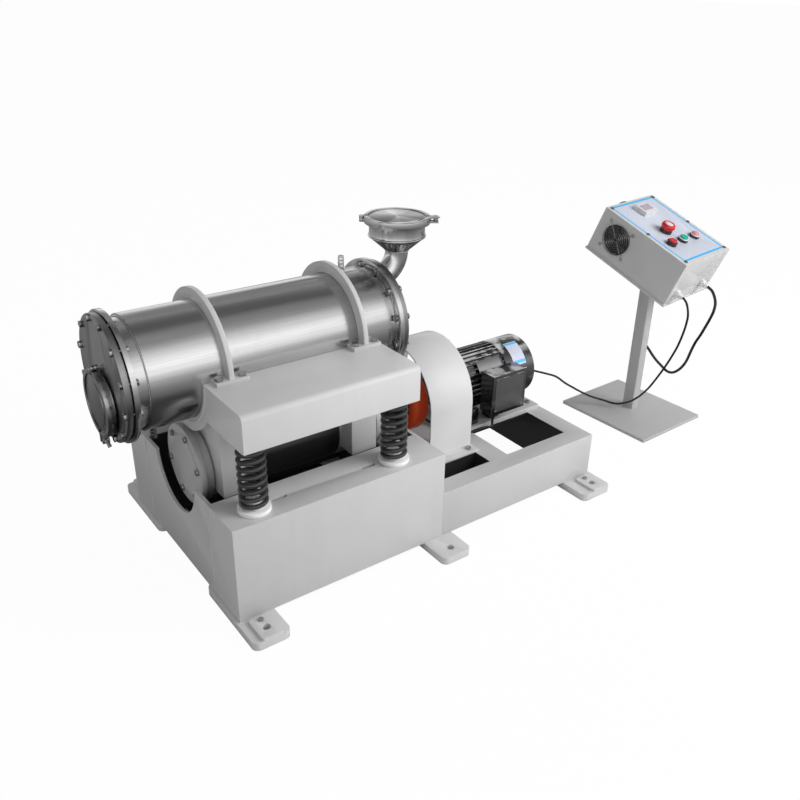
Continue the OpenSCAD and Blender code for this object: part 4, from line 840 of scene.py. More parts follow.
class Growth(Recipe):
    """A Geometry Nodes tree with named sizes, baked into plain meshes."""

    KINDS = {float: "NodeSocketFloat", int: "NodeSocketInt"}

    def __init__(self, name: str, sizes: Mapping[str, float | int]) -> None:
        """Makes the tree with a geometry input and one input for each size.

        Args:
            name: The tree's name.
            sizes: Each size's name and first value.
        """
        super().__init__(bpy.data.node_groups.new(name, "GeometryNodeTree"))
        face = self.tree.interface
        face.new_socket(name="Places", in_out="INPUT", socket_type="NodeSocketGeometry")
        self.keys = {}
        for size, value in sizes.items():
            socket = face.new_socket(
                name=size, in_out="INPUT", socket_type=self.KINDS[type(value)]
            )
            socket.default_value = value
            self.keys[size] = socket.identifier
        face.new_socket(name="Grown", in_out="OUTPUT", socket_type="NodeSocketGeometry")
        self.inlet = self.tree.nodes.new("NodeGroupInput")

    def size(self, name: str) -> Term:
        """Gives one of the named inputs."""
        return Term(self, self.inlet.outputs[name])

    def end(self, geometry: Term, finish: Finish) -> None:
        """Ends the tree: instances made real and the finish set.

        Args:
            geometry: What the tree made.
            finish: Its finish.
        """
        real = self.term("GeometryNodeRealizeInstances", None, {0: geometry})
        dressed = self.term(
            "GeometryNodeSetMaterial", None, {"Geometry": real, "Material": finish.material()}
        )
        self.node("NodeGroupOutput", None, {0: dressed})

    def bake(self, mesh: bpy.types.Mesh, **values: float | int) -> bpy.types.Mesh:
        """Grows the tree on a mesh and gives the result as a plain mesh.

        Args:
            mesh: The places that it grows on.
            **values: Sizes by name, with underscores for spaces.

        Returns:
            The grown mesh.
        """
        holder = shown("holder", mesh)
        growth = holder.modifiers.new("growth", "NODES")
        growth.node_group = self.tree
        for name, value in values.items():
            growth[self.keys[name.replace("_", " ")]] = value
        holder.update_tag()
        bpy.context.view_layer.update()
        return evaluated(holder)


def places(points: Iterable[Point], closed: bool = False, joined: bool = False) -> bpy.types.Mesh:
    """Makes a mesh of points for a tree to grow on.

    Args:
        points: The points.
        closed: Whether the last one joins the first.
        joined: Whether neighbours are joined by edges.

    Returns:
        The mesh.
    """
    spots = [tuple(p) for p in points]
    edges = [(i, i + 1) for i in range(len(spots) - 1)] if joined or closed else []
    if closed:
        edges.append((len(spots) - 1, 0))
    mesh = bpy.data.meshes.new("places")
    mesh.from_pydata(spots, edges, [])
    return mesh


def circle_x(x: float, z: float, r: float, steps: int = 96) -> list[Point]:
    """Gives points round an axis along X."""
    turns = (math.tau * k / steps for k in range(steps))
    return [(x, r * math.cos(a), z + r * math.sin(a)) for a in turns]


def circle_z(x: float, y: float, z: float, r: float, steps: int = 96) -> list[Point]:
    """Gives points round an axis along Z."""
    turns = (math.tau * k / steps for k in range(steps))
    return [(x + r * math.cos(a), y + r * math.sin(a), z) for a in turns]


class Welder:
    """Lays rippled weld beads along seams."""

    def __init__(self, finish: Finish) -> None:
        """Builds the bead's tree.

        Args:
            finish: The finish of the beads.
        """
        self.finish = finish
        tree = Growth(
            "weld_bead_" + finish.name, {"Bead radius": 0.0016, "Ripple pitch": 0.0028, "Sides": 7}
        )
        seam = tree.term("GeometryNodeMeshToCurve", None, {"Mesh": tree.size("Places")})
        even = tree.term(
            "GeometryNodeResampleCurve",
            {"mode": "LENGTH"},
            {"Curve": seam, "Length": tree.size("Ripple pitch") * 0.25},
        )
        along = tree.term("GeometryNodeSplineParameter", output="Length")
        wave = (along / tree.size("Ripple pitch") * math.tau).sine()
        thick = tree.size("Bead radius") * (1.0 + 0.16 * wave)
        section = tree.term(
            "GeometryNodeCurvePrimitiveCircle", None, {"Resolution": tree.size("Sides"),
                                                       "Radius": 1.0}
        )
        bead = tree.term(
            "GeometryNodeCurveToMesh", None,
            {"Curve": even, "Profile Curve": section, "Scale": thick, "Fill Caps": True},
        )
        tree.end(bead, finish)
        self.tree = tree

    def run(self, name: str, seam: Sequence[Point], body: str, closed: bool,
            radius: float) -> bpy.types.Object:
        """Lays one bead.

        Args:
            name: The piece's name.
            seam: Points along the seam.
            body: The body that it rides on.
            closed: Whether the seam is a loop.
            radius: The bead's radius.

        Returns:
            The bead.
        """
        mesh = self.tree.bake(places(seam, closed, True), Bead_radius=radius)
        return packed_piece(name, mesh, self.finish, body, 60.0)


# Sub-assemblies


@dataclass
class Studio:
    """Camera, lamps, world and floor."""

    at: Point = (-1.01711, -1.50094, 1.17373)
    heading: float = 37.317
    dip: float = 26.619
    roll: float = 1.5
    lens: float = 37.83
    shift: tuple[float, float] = (-0.01645, -0.00255)
    floor_half: float = 60.0
    daylight: float = 0.44
    key: float = 160.0
    fill: float = 3.0
    under_x: tuple[float, float] = (-0.50, 0.02)
    under_y: float = 0.27
    sky: tuple[tuple[float, float], ...] = (
        (-180, 0.9), (-150, 0.3), (-90, 0.05), (-30, 0.12), (-10, 0.5), (2, 0.8), (8, 1.15),
        (18, 1.3), (28, 1.5), (37, 1.15), (48, 0.85), (57, 0.60), (66, 0.36), (84, 0.32),
        (94, 0.13), (106, 0.12), (117, 0.20), (127, 0.34), (138, 0.30), (148, 0.26),
        (158, 0.55), (168, 0.95), (180, 1.2),
    )

    def build(self) -> None:
        """Sets the studio up."""
        self._camera()
        self._lamp("key", (2.6, -3.0, 2.7), 2.6, self.key)
        self._lamp("fill", (-2.4, -2.4, 3.6), 2.4, self.fill)
        self._world()
        self._floor()
        bpy.context.scene.view_settings.view_transform = "Standard"

    def _camera(self) -> None:
        """Puts the camera where the photograph was taken from."""
        a, e, r = (math.radians(v) for v in (self.heading, self.dip, self.roll))
        ahead = Vector((math.sin(a) * math.cos(e), math.cos(a) * math.cos(e), -math.sin(e)))
        right = Vector((math.cos(a), -math.sin(a), 0.0))
        above = right.cross(ahead)
        side = math.cos(r) * right + math.sin(r) * above
        top = -math.sin(r) * right + math.cos(r) * above
        data = bpy.data.cameras.new("camera")
        data.lens, data.sensor_width = self.lens, 36.0
        data.shift_x, data.shift_y = self.shift
        camera = shown("camera", data)
        camera.matrix_world = Matrix.Translation(self.at) @ Matrix(
            (side, top, -ahead)
        ).transposed().to_4x4()
        bpy.context.scene.camera = camera

    def _lamp(self, name: str, at: Point, size: float, power: float) -> None:
        """Adds a square soft box aimed at the machine.

        Args:
            name: The lamp's name.
            at: Its place.
            size: Its side.
            power: Its power in watts.
        """
        data = bpy.data.lights.new(name, "AREA")
        data.shape, data.size, data.energy = "SQUARE", size, power
        lamp = shown(name, data)
        lamp.visible_glossy = False
        aim = Vector((0.1, 0.0, 0.35)) - Vector(at)
        lamp.matrix_world = Matrix.Translation(at) @ aim.to_track_quat("-Z", "Y").to_matrix(
        ).to_4x4()

    def _world(self) -> None:
        """White to the camera, plain daylight on the machine, soft bands in polished metal."""
        world = bpy.data.worlds.new("studio")
        bpy.context.scene.world = world
        world.use_nodes = True
        world.node_tree.nodes.clear()
        tree = Recipe(world.node_tree)
        path = tree.node("ShaderNodeLightPath")
        way = tree.term("ShaderNodeTexCoord", output="Generated")
        split = tree.node("ShaderNodeSeparateXYZ", None, {0: way})
        across, height = (Term(tree, split.outputs[k]) for k in (1, 2))
        most = max(level for _, level in self.sky)
        stops = [(turn / 360.0 + 0.5, (level / most,) * 3) for turn, level in self.sky]
        ramp = tree.term(
            "ShaderNodeValToRGB", {"stops": stops},
            {0: height.angle_over(across * -1.0) / math.tau + 0.5},
        )
        bands = ramp * most
        plain = tree.term("ShaderNodeMix", {"data_type": "RGBA"},
                          {0: Term(tree, path.outputs["Is Glossy Ray"]),
                           6: (self.daylight,) * 3, 7: bands}, output=2)
        seen = Term(tree, path.outputs["Is Camera Ray"]).larger(
            Term(tree, path.outputs["Is Transmission Ray"]))
        colour = tree.term("ShaderNodeMix", {"data_type": "RGBA"},
                           {0: seen, 6: plain, 7: (1.0, 1.0, 1.0)}, output=2)
        light = tree.node("ShaderNodeBackground", None, {"Color": colour, "Strength": 1.0})
        tree.node("ShaderNodeOutputWorld", None, {"Surface": light.outputs[0]})

    def _floor(self) -> None:
        """Lays a white floor that keeps a soft shadow under the machine, with a painted shadow under
        the base.
        """
        half = self.floor_half
        mesh = bpy.data.meshes.new("floor")
        corners = [(x * half, y * half, 0.0) for x, y in SQUARE]
        mesh.from_pydata(corners, [], [(0, 1, 2, 3)])
        shader = Shader("floor_white")
        path = shader.node("ShaderNodeLightPath")
        camera, glossy, through = (Term(shader, path.outputs[f"Is {kind} Ray"])
                                   for kind in ("Camera", "Glossy", "Transmission"))
        x, y, _ = shader.parts(shader.place)
        middle = sum(self.under_x) / 2
        reach = self.under_x[1] - middle
        # painted shadow: the mask of the base's footprint, where the floor is painted dark
        under = (shader.span(abs(x - middle), reach - 0.05, reach - 0.01, 1.0, 0.0)
                 * shader.span(abs(y), self.under_y - 0.05, self.under_y - 0.01, 1.0, 0.0))
        _, _, steep = shader.parts(shader.term("ShaderNodeNewGeometry", output="Incoming"))
        mirrored = shader.span(steep, 0.0, 0.65, 0.55, 0.05) * (1.0 - under * 0.8)
        colour = shader.tint(glossy, (1.0, 1.0, 1.0), mirrored)
        # painted shadow: the paper is painted nearly black within the footprint
        paper = shader.node("ShaderNodeBsdfDiffuse", None,
                            {"Color": shader.tint(under, (0.93,) * 3, (0.05,) * 3)})
        white = shader.node("ShaderNodeEmission", None, {"Color": colour})
        share = (camera.larger(through) * (1.0 - under) * 0.97).larger(glossy)
        mixed = shader.node("ShaderNodeMixShader", None,
                            {0: share, 1: paper.outputs[0], 2: white.outputs[0]})
        shader.node("ShaderNodeOutputMaterial", None, {"Surface": mixed.outputs[0]})
        mesh.materials.append(shader.material)
        shown("floor", mesh)


@dataclass
class BoxFrame:
    """The tilted control box's own axes: X across, Y up the slope, Z out of the panel."""

    at: Point = CTL_CENTRE
    turn: Point = CTL_TURN
    half: tuple[float, float, float] = (0.1155, 0.1415, 0.065)

    def matrix(self) -> Matrix:
        """Gives the frame as a matrix."""
        return Matrix.Translation(self.at) @ Euler(self.turn, "XYZ").to_matrix().to_4x4()

    def point(self, x: float, y: float, z: float) -> Vector:
        """Turns a point of the box into one of the machine."""
        return self.matrix() @ Vector((x, y, z))

    def stand_on(self, x: float, y: float) -> Matrix:
        """Gives axes that stand on the panel at a point."""
        return self.matrix() @ Matrix.Translation((x, y, self.half[2]))


@dataclass
class Cords:
    """The motor cable and the supply cord with its hung coil."""

    box: BoxFrame
    motor_r: float = 0.003
    supply_r: float = 0.004
    gland_len: float = 0.024
    gland_in: float = 0.006
    glands: tuple[tuple[float, float], ...] = ((-0.080, -0.034), (0.053, -0.032))
    motor_exit: Point = (0.306, -0.104, 0.169)
    motor_route: tuple[Point, ...] = (
        (306, -104, 150), (300, -110, 146), (288, -120, 150), (270, -126, 158),
        (245, -127, 162), (220, -123, 158), (200, -112, 148), (190, -90, 141), (188, -40, 139),
        (188, 40, 139), (192, 90, 141), (206, 108, 146), (250, 110, 160), (310, 98, 180),
        (370, 84, 198), (410, 77, 205), (450, 77, 205), (485, 66, 206), (520, 35, 201),
        (553, 2, 193), (595, -5, 176), (640, -3, 154), (684, 0, 121), (720, 2, 97),
        (755, 2, 74), (805, 0, 44), (840, -22, 30), (860, -58, 27), (870, -97, 48),
        (866, -128, 77), (865, -150, 105), (864, -170, 137), (867, -200, 200), (865, -226, 261),
        (862, -238, 296), (857, -247, 324), (852, -254, 350), (848, -258, 376),
        (848, -254, 395), (855, -242, 408),
    )
    supply_route: tuple[Point, ...] = (
        (988, -229, 410), (981, -247, 389), (974, -252, 366), (974, -246, 342),
        (977, -236, 317), (982, -220, 280), (985, -206, 251), (996, -190, 216),
        (1007, -176, 183), (1013, -164, 159), (1017, -148, 136), (1018, -128, 118),
        (1020, -105, 113), (1016, -84, 125), (1007, -66, 142), (990, -52, 170),
        (966, -45, 206), (932, -45, 290), (920, -46, 340), (916, -46, 390), (910, -32, 425),
        (905, 0, 438), (902, 38, 449), (907, 72, 468),
    )
    coil_at: tuple[float, float] = (0.050, -0.025)
    coil_inner: float = 0.038
    coil_step: float = 0.0086
    coil_off: float = 0.012
    layers: int = 4
    turns_each: int = 2
    turns: float = 7.75
    rings: int = 24

    def build(self) -> None:
        """Makes both cords, the coil's tie and the plug's finish."""
        self._motor_cable()
        self._supply_cord()

    def _gland_points(self, which: int) -> tuple[Vector, Vector]:
        """Gives the points inside a gland and just outside it."""
        x, z = self.glands[which]
        end = -self.box.half[1] - self.gland_len
        return self.box.point(x, end + self.gland_in, z), self.box.point(x, end - 0.004, z)

    def _outer(self) -> float:
        """Gives the coil's outer radius."""
        return self.coil_inner + self.turns_each * self.coil_step

    def _wound(self, t: float) -> Vector:
        """Gives the coil's line after t turns, in the box's axes."""
        layer = math.floor(t / self.turns_each)
        f = t - layer * self.turns_each
        radius = (self._outer() - f * self.coil_step if layer % 2 == 0
                  else self.coil_inner + f * self.coil_step)
        climb = sum(min(1.0, max(0.0, 2.0 * (t - k * self.turns_each) + 0.5))
                    for k in range(1, self.layers)) * self.coil_step
        a = math.tau * t - math.pi / 2
        return Vector((self.coil_at[0] + radius * math.cos(a),
                       self.box.half[1] + self.coil_off + climb,
                       self.coil_at[1] + radius * math.sin(a)))

    def _curve(self, name: str, line: Sequence[Vector], radius: float) -> bpy.types.Object:
        """Makes a round cord along a line.

        Args:
            name: The piece's name.
            line: Points along it.
            radius: Its radius.

        Returns:
            The cord.
        """
        data = bpy.data.curves.new(name, "CURVE")
        data.dimensions = "3D"
        data.bevel_depth = radius
        data.bevel_resolution = 3
        data.use_fill_caps = True
        spline = data.splines.new("POLY")
        spline.points.add(len(line) - 1)
        for point, spot in zip(spline.points, line):
            point.co = (*spot, 1.0)
        data.materials.append(Shop.CORD.material())
        cord = shown(name, data)
        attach(cord, "base")
        LOG.info("%s is %.3f m long", name, length_of(line))
        return cord

    def _motor_cable(self) -> None:
        """Makes the cable from the terminal box to the first gland."""
        route = [Vector(p) / 1000.0 for p in self.motor_route]
        inside, outside = self._gland_points(0)
        line = smooth_line([Vector(self.motor_exit), *route, outside, inside], 4)
        cord = self._curve("motor_cable_run", line, self.motor_r)
        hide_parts("motor_cable")

    def _supply_cord(self) -> None:
        """Makes the supply cord, its coil on the peg and the tie round the coil."""
        route = [Vector(p) / 1000.0 for p in self.supply_route]
        inside, outside = self._gland_points(1)
        back = self.box.half[1] + self.coil_off
        low = self.coil_at[1] - self._outer()
        lead = [self.box.point(self.coil_at[0] - 8 * self.supply_r, back, low),
                self.box.point(self.coil_at[0] - 2 * self.supply_r, back, low)]
        coil = [self.box.matrix() @ self._wound(i / self.rings)
                for i in range(round(self.turns * self.rings) + 1)]
        line = smooth_line([inside, outside, *route, *lead], 4) + coil + self._tail()
        cord = self._curve("supply_cord_run", line, self.supply_r)
        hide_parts("supply_cord", "supply_coil")
        plug = softened("mains_plug", Shop.BLACK, 0.0010)
        self._tie()

    def _tail(self) -> list[Vector]:
        """Gives the free end, which turns to hang straight down to its plug."""
        d = 2 * self.supply_r
        last = self._wound(self.turns)
        low = self.box.matrix() @ (last - Vector((0.0, 0.0, 2 * d)))
        tilt = self.box.matrix().to_3x3() @ Vector((0.0, 0.0, 1.0))
        bent = low - d * (tilt + Vector((0.0, 0.0, 1.0))).normalized()
        return [self.box.matrix() @ (last - Vector((0.0, 0.0, d))), low, bent,
                bent - Vector((0.0, 0.0, d))]

    def _tie(self) -> bpy.types.Object:
        """Makes the strap that holds the coil's turns together."""
        pad = self.supply_r + 0.0008
        lo_r, hi_r = self.coil_inner - pad, self._outer() + pad
        lo_y = self.box.half[1] + self.coil_off - pad
        hi_y = lo_y + 2 * pad + (self.layers - 1) * self.coil_step
        thick, wide = 0.0012, 0.007
        shape = bmesh.new()
        loops = []
        for out in (0.0, thick):
            for side in (-wide, wide):
                corners = ((lo_r - out, lo_y - out), (hi_r + out, lo_y - out),
                           (hi_r + out, hi_y + out), (lo_r - out, hi_y + out))
                loops.append([
                    shape.verts.new(self.box.point(self.coil_at[0] + r, y, self.coil_at[1] + side))
                    for r, y in corners
                ])
        inner_a, inner_b, outer_a, outer_b = loops
        for one, two in ((inner_a, inner_b), (outer_a, outer_b), (inner_a, outer_a),
                         (inner_b, outer_b)):
            skin(shape, one, two)
        tie = packed_piece("coil_tie", finished(shape, "tie", 0.0004), Shop.BLACK, "base")
        return tie


@dataclass
class Suspension:
    """Four steel coil springs between the base and the saddle."""

    places_x: tuple[float, float] = (-0.431, -0.098)
    place_y: float = 0.231
    coil_r: float = 0.02475
    wire_r: float = 0.00475
    turns: float = 12.6
    bottom: float = 0.247
    top: float = 0.453

    def build(self) -> None:
        """Grows the springs in place of their plain solids."""
        tree = self._tree()
        for side, node in ((-1, "springs_near"), (1, "springs_far")):
            spots = places([(x, side * self.place_y, 0.0) for x in self.places_x])
            mesh = tree.bake(spots, Coil_radius=self.coil_r, Wire_radius=self.wire_r,
                             Turns=self.turns, Bottom=self.bottom, Top=self.top)
            mesh.name = node + "_wound"
            mesh.shade_smooth()
            mesh.set_sharp_from_angle(angle=math.radians(50.0))
            piece = shown(node + "_wound", mesh)
            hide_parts(node)
            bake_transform(piece)
            LOG.info("%s bends between base and mill", piece.name)
        softened("lower_spring_seats", Shop.SEAT, 0.0015)
        softened("upper_spring_seats", Shop.SEAT, 0.0015)

    @staticmethod
    def _tree() -> Growth:
        """Builds the tree of a spring with closed ends."""
        tree = Growth("suspension_spring", {
            "Coil radius": 0.02475, "Wire radius": 0.00475, "Turns": 12.6, "Bottom": 0.247,
            "Top": 0.453, "Steps": 460, "Sides": 14,
        })
        start = tree.term("GeometryNodeCurvePrimitiveLine", None,
                          {"Start": (0.0, 0.0, 0.0), "End": (0.0, 0.0, 1.0)})
        even = tree.term("GeometryNodeResampleCurve", {"mode": "COUNT"},
                         {"Curve": start, "Count": tree.size("Steps")})
        along = tree.term("GeometryNodeSplineParameter", output="Factor")
        wire, turns = tree.size("Wire radius"), tree.size("Turns")
        angle = along * turns * math.tau
        closed = 0.85
        share = closed / turns
        first = (along / share).smaller(1.0)
        last = ((along - 1.0) / share + 1.0).larger(0.0)
        middle = ((along - share) / (1.0 - 2.0 * share)).larger(0.0).smaller(1.0)
        low = tree.size("Bottom") + wire
        free = tree.size("Top") - wire - low - wire * (4.0 * closed)
        height = low + (first + last) * wire * (2.0 * closed) + middle * free
        radius = tree.size("Coil radius")
        spot = tree.term("ShaderNodeCombineXYZ", None, {
            0: radius * angle.cosine(), 1: radius * angle.sine(), 2: height})
        bent = tree.term("GeometryNodeSetPosition", None, {"Geometry": even, "Position": spot})
        section = tree.term("GeometryNodeCurvePrimitiveCircle", None,
                            {"Resolution": tree.size("Sides"), "Radius": wire})
        coil = tree.term("GeometryNodeCurveToMesh", None,
                         {"Curve": bent, "Profile Curve": section, "Fill Caps": True})
        four = tree.term("GeometryNodeInstanceOnPoints", None,
                         {"Points": tree.size("Places"), "Instance": coil})
        tree.end(four, Shop.SPRING)
        return tree


@dataclass
class WeldedBase:
    """The welded base with its feet and plates."""

    x0: float = -0.5
    step_x: float = 0.011
    half_w: float = 0.275
    rail: float = 0.110
    top: float = 0.237
    low_top: float = 0.133
    foot: float = 0.018
    bead_r: float = 0.0022

    def build(self) -> None:
        """Dresses the base and lays its visible welds."""
        softened("front_box", Shop.FRONT, 0.0022)
        softened("rear_frame", Shop.REAR, 0.0022)
        softened("foot_plates", Shop.FEET, 0.0018)
        softened("frame_screws", Shop.ZINC, 0.0005)
        softened("motor_plate", Shop.BASE, 0.0015)
        welder = Welder(Shop.BASE)
        inner = self.half_w - self.rail
        for side, tag in ((-1, "near"), (1, "far")):
            for x, end in ((self.x0, "left"), (self.step_x, "right")):
                low = self.foot if x < 0 else self.low_top
                welder.run(f"weld_{end}_{tag}",
                           [(x, side * inner, low + 0.002), (x, side * inner, self.top - 0.002)],
                           "base", False, self.bead_r)
            welder.run(f"weld_rail_{tag}",
                       [(self.step_x, side * (self.half_w - 0.003), self.low_top),
                        (self.step_x, side * (self.half_w - 0.048), self.low_top)],
                       "base", False, self.bead_r)


@dataclass
class ShakenBody:
    """The saddle, the exciter under it and the drum strapped into it."""

    jacket_x: tuple[float, float] = (-0.566, -0.024)
    shell_r: float = 0.110
    saddle_left: float = -0.466
    cradle_r: float = 0.1255
    saddle_z: float = 0.471

    def build(self) -> None:
        """Dresses the body and lays its welds."""
        softened("saddle", Shop.SADDLE, 0.0012)
        softened("exciter_housing", Shop.HOUSING, 0.0010)
        softened("exciter_covers", Shop.EXCITER, 0.0020)
        softened("hold_down_straps", Shop.STRAP, 0.0015)
        softened("mill_drum", Shop.DRUM, 0.0008)
        softened("end_covers", Shop.COVER, 0.0012)
        softened("mill_bolts", Shop.ZINC, 0.0006)
        softened("gaskets", Shop.GASKET, 0.0004)
        bead = Welder(Shop.DRUM)
        for x, tag in zip(self.jacket_x, ("left", "right")):
            bead.run(f"jacket_weld_{tag}", circle_x(x, DRUM_Z, self.shell_r + 0.0016), "mill",
                     True, 0.0018)
        paint = Welder(Shop.SADDLE)
        half = math.asin((self.saddle_z - DRUM_Z - 0.004) / self.cradle_r)
        sweep = math.pi + 2 * half
        arc = [(self.saddle_left, self.cradle_r * math.cos(a), DRUM_Z + self.cradle_r * math.sin(a))
               for a in (half - sweep * k / 80 for k in range(81))]
        paint.run("cradle_weld_left", arc, "mill", False, 0.0015)


@dataclass
class ClampSet:
    """One clamped opening: lid, two half rings, swing bolt and wing nut."""

    prefix: str
    lid: str
    lid_finish: Finish
    ring_finish: Finish

    def build(self) -> None:
        """Dresses the set."""
        softened(self.lid, self.lid_finish, 0.0005)
        softened(self.prefix + "_clamp_a", self.ring_finish, 0.0008)
        softened(self.prefix + "_clamp_b", self.ring_finish, 0.0008)
        softened(self.prefix + "_swing_bolt", Shop.ZINC, 0.0004)
        softened(self.prefix + "_wing_nut", self.ring_finish, 0.0005)


@dataclass
class FeedHopper:
    """The elbow, cone and cylinder of the feed side."""

    x: float = 0.069
    elbow_r: float = 0.026
    elbow_z: float = 0.565
    cover_x: float = 0.014
    cone_z: float = 0.620

    def build(self) -> None:
        """Dresses the hopper and lays its welds."""
        softened("feed_hopper", Shop.HOPPER, 0.0005)
        welder = Welder(Shop.HOPPER)
        welder.run("elbow_weld", circle_x(self.cover_x + 0.001, self.elbow_z,
                                          self.elbow_r + 0.001, 64), "mill", True, 0.0018)
        welder.run("cone_weld", circle_z(self.x, 0.0, self.cone_z, self.elbow_r + 0.0004, 64), "mill",
                   True, 0.0013)


@dataclass
class Drive:
    """The motor, its coupling and the guard."""

    axis_z: float = AXIS_Z
    plate_r: float = 0.0795
    plate_x: tuple[float, float] = (0.285, 0.361)
    plate_deg: tuple[float, float] = (29.0, 53.2)
    sticker_x: tuple[float, float] = (0.400, 0.442)
    sticker_deg: tuple[float, float] = (24.5, 74.0)
    lid_x: tuple[float, float] = (0.278, 0.389)
    lid_z: tuple[float, float] = (0.186, 0.295)
    lid_y: float = -0.129
    lid_edge: float = 0.0085

    def build(self) -> None:
        """Dresses the drive and adds the plates that the photograph shows."""
        softened("coupling_guard", Shop.GUARD, 0.0008)
        softened("motor_frame", Shop.MOTOR, 0.0008)
        softened("motor_fan_cover", Shop.MOTOR, 0.0022)
        softened("terminal_box", Shop.MOTOR, 0.0025)
        softened("coupling_tyre", Shop.TYRE, 0.0010)
        softened("motor_hub", Shop.CAST, 0.0010)
        softened("exciter_hub", Shop.CAST, 0.0010)
        self._lid()
        self._bent("motor_nameplate", self.plate_x, self.plate_deg, self.plate_r, 0.0008,
                   Shop.PLATE)
        r = self.plate_r + 0.0002
        low, high = self.sticker_deg
        self._bent("fan_cover_sticker", self.sticker_x, self.sticker_deg, r, 0.0003, Shop.STICKER)
        for end, edges in (("low", (low + 3.0, low + 9.0)), ("high", (high - 6.0, high - 1.5))):
            self._bent("sticker_band_" + end, self.sticker_x, edges, r + 0.0003, 0.0001, Shop.BLUE)
        self._rivets()

    def _bent(self, name: str, xs: tuple[float, float], degrees: tuple[float, float], r: float,
              thick: float, finish: Finish) -> None:
        """Makes a plate bent round the motor's near side.

        Args:
            name: The piece's name.
            xs: Where it starts and ends along the motor.
            degrees: Its lower and upper edge, from the horizontal.
            r: Radius of its inner face.
            thick: Its thickness.
            finish: Its finish.
        """
        steps = 16
        shape = bmesh.new()
        rows = []
        for k in range(steps + 1):
            a = math.radians(degrees[0] + (degrees[1] - degrees[0]) * k / steps)
            rows.append([
                shape.verts.new((x, -q * math.cos(a), self.axis_z + q * math.sin(a)))
                for q, x in ((r, xs[0]), (r, xs[1]), (r + thick, xs[1]), (r + thick, xs[0]))
            ])
        for one, two in zip(rows, rows[1:]):
            skin(shape, one, two)
        shape.faces.new(rows[0])
        shape.faces.new(rows[-1])
        packed_piece(name, finished(shape, name), finish, "base")

    def _rivets(self) -> None:
        """Grows the nameplate's four rivets."""
        tree = Growth("rivets", {"Rivet radius": 0.0022})
        head = tree.term("GeometryNodeMeshIcoSphere", None,
                         {"Radius": tree.size("Rivet radius"), "Subdivisions": 2})
        spread = tree.term("GeometryNodeInstanceOnPoints", None,
                           {"Points": tree.size("Places"), "Instance": head})
        tree.end(spread, Shop.ZINC)
        spots = []
        for x in (self.plate_x[0] + 0.005, self.plate_x[1] - 0.005):
            for deg in (self.plate_deg[0] + 4.0, self.plate_deg[1] - 4.0):
                a = math.radians(deg)
                spots.append((x, -self.plate_r * math.cos(a),
                              self.axis_z + self.plate_r * math.sin(a)))
        mesh = tree.bake(places(spots), Rivet_radius=0.0022)
        packed_piece("nameplate_rivets", mesh, Shop.ZINC, "base")

    def _lid(self) -> None:
        """Adds the grey face inside the terminal lid's glossy rim."""
        e = self.lid_edge
        xs = (self.lid_x[0] + e, self.lid_x[1] - e)
        zs = (self.lid_z[0] + e, self.lid_z[1] - e)
        outline = [Vector((x, self.lid_y + 0.001, z))
                   for x, z in ((xs[0], zs[0]), (xs[1], zs[0]), (xs[1], zs[1]), (xs[0], zs[1]))]
        mesh = slab(outline, Vector((0.0, -0.0022, 0.0)), 0.0008)
        packed_piece("terminal_lid_face", mesh, Shop.LID, "base")


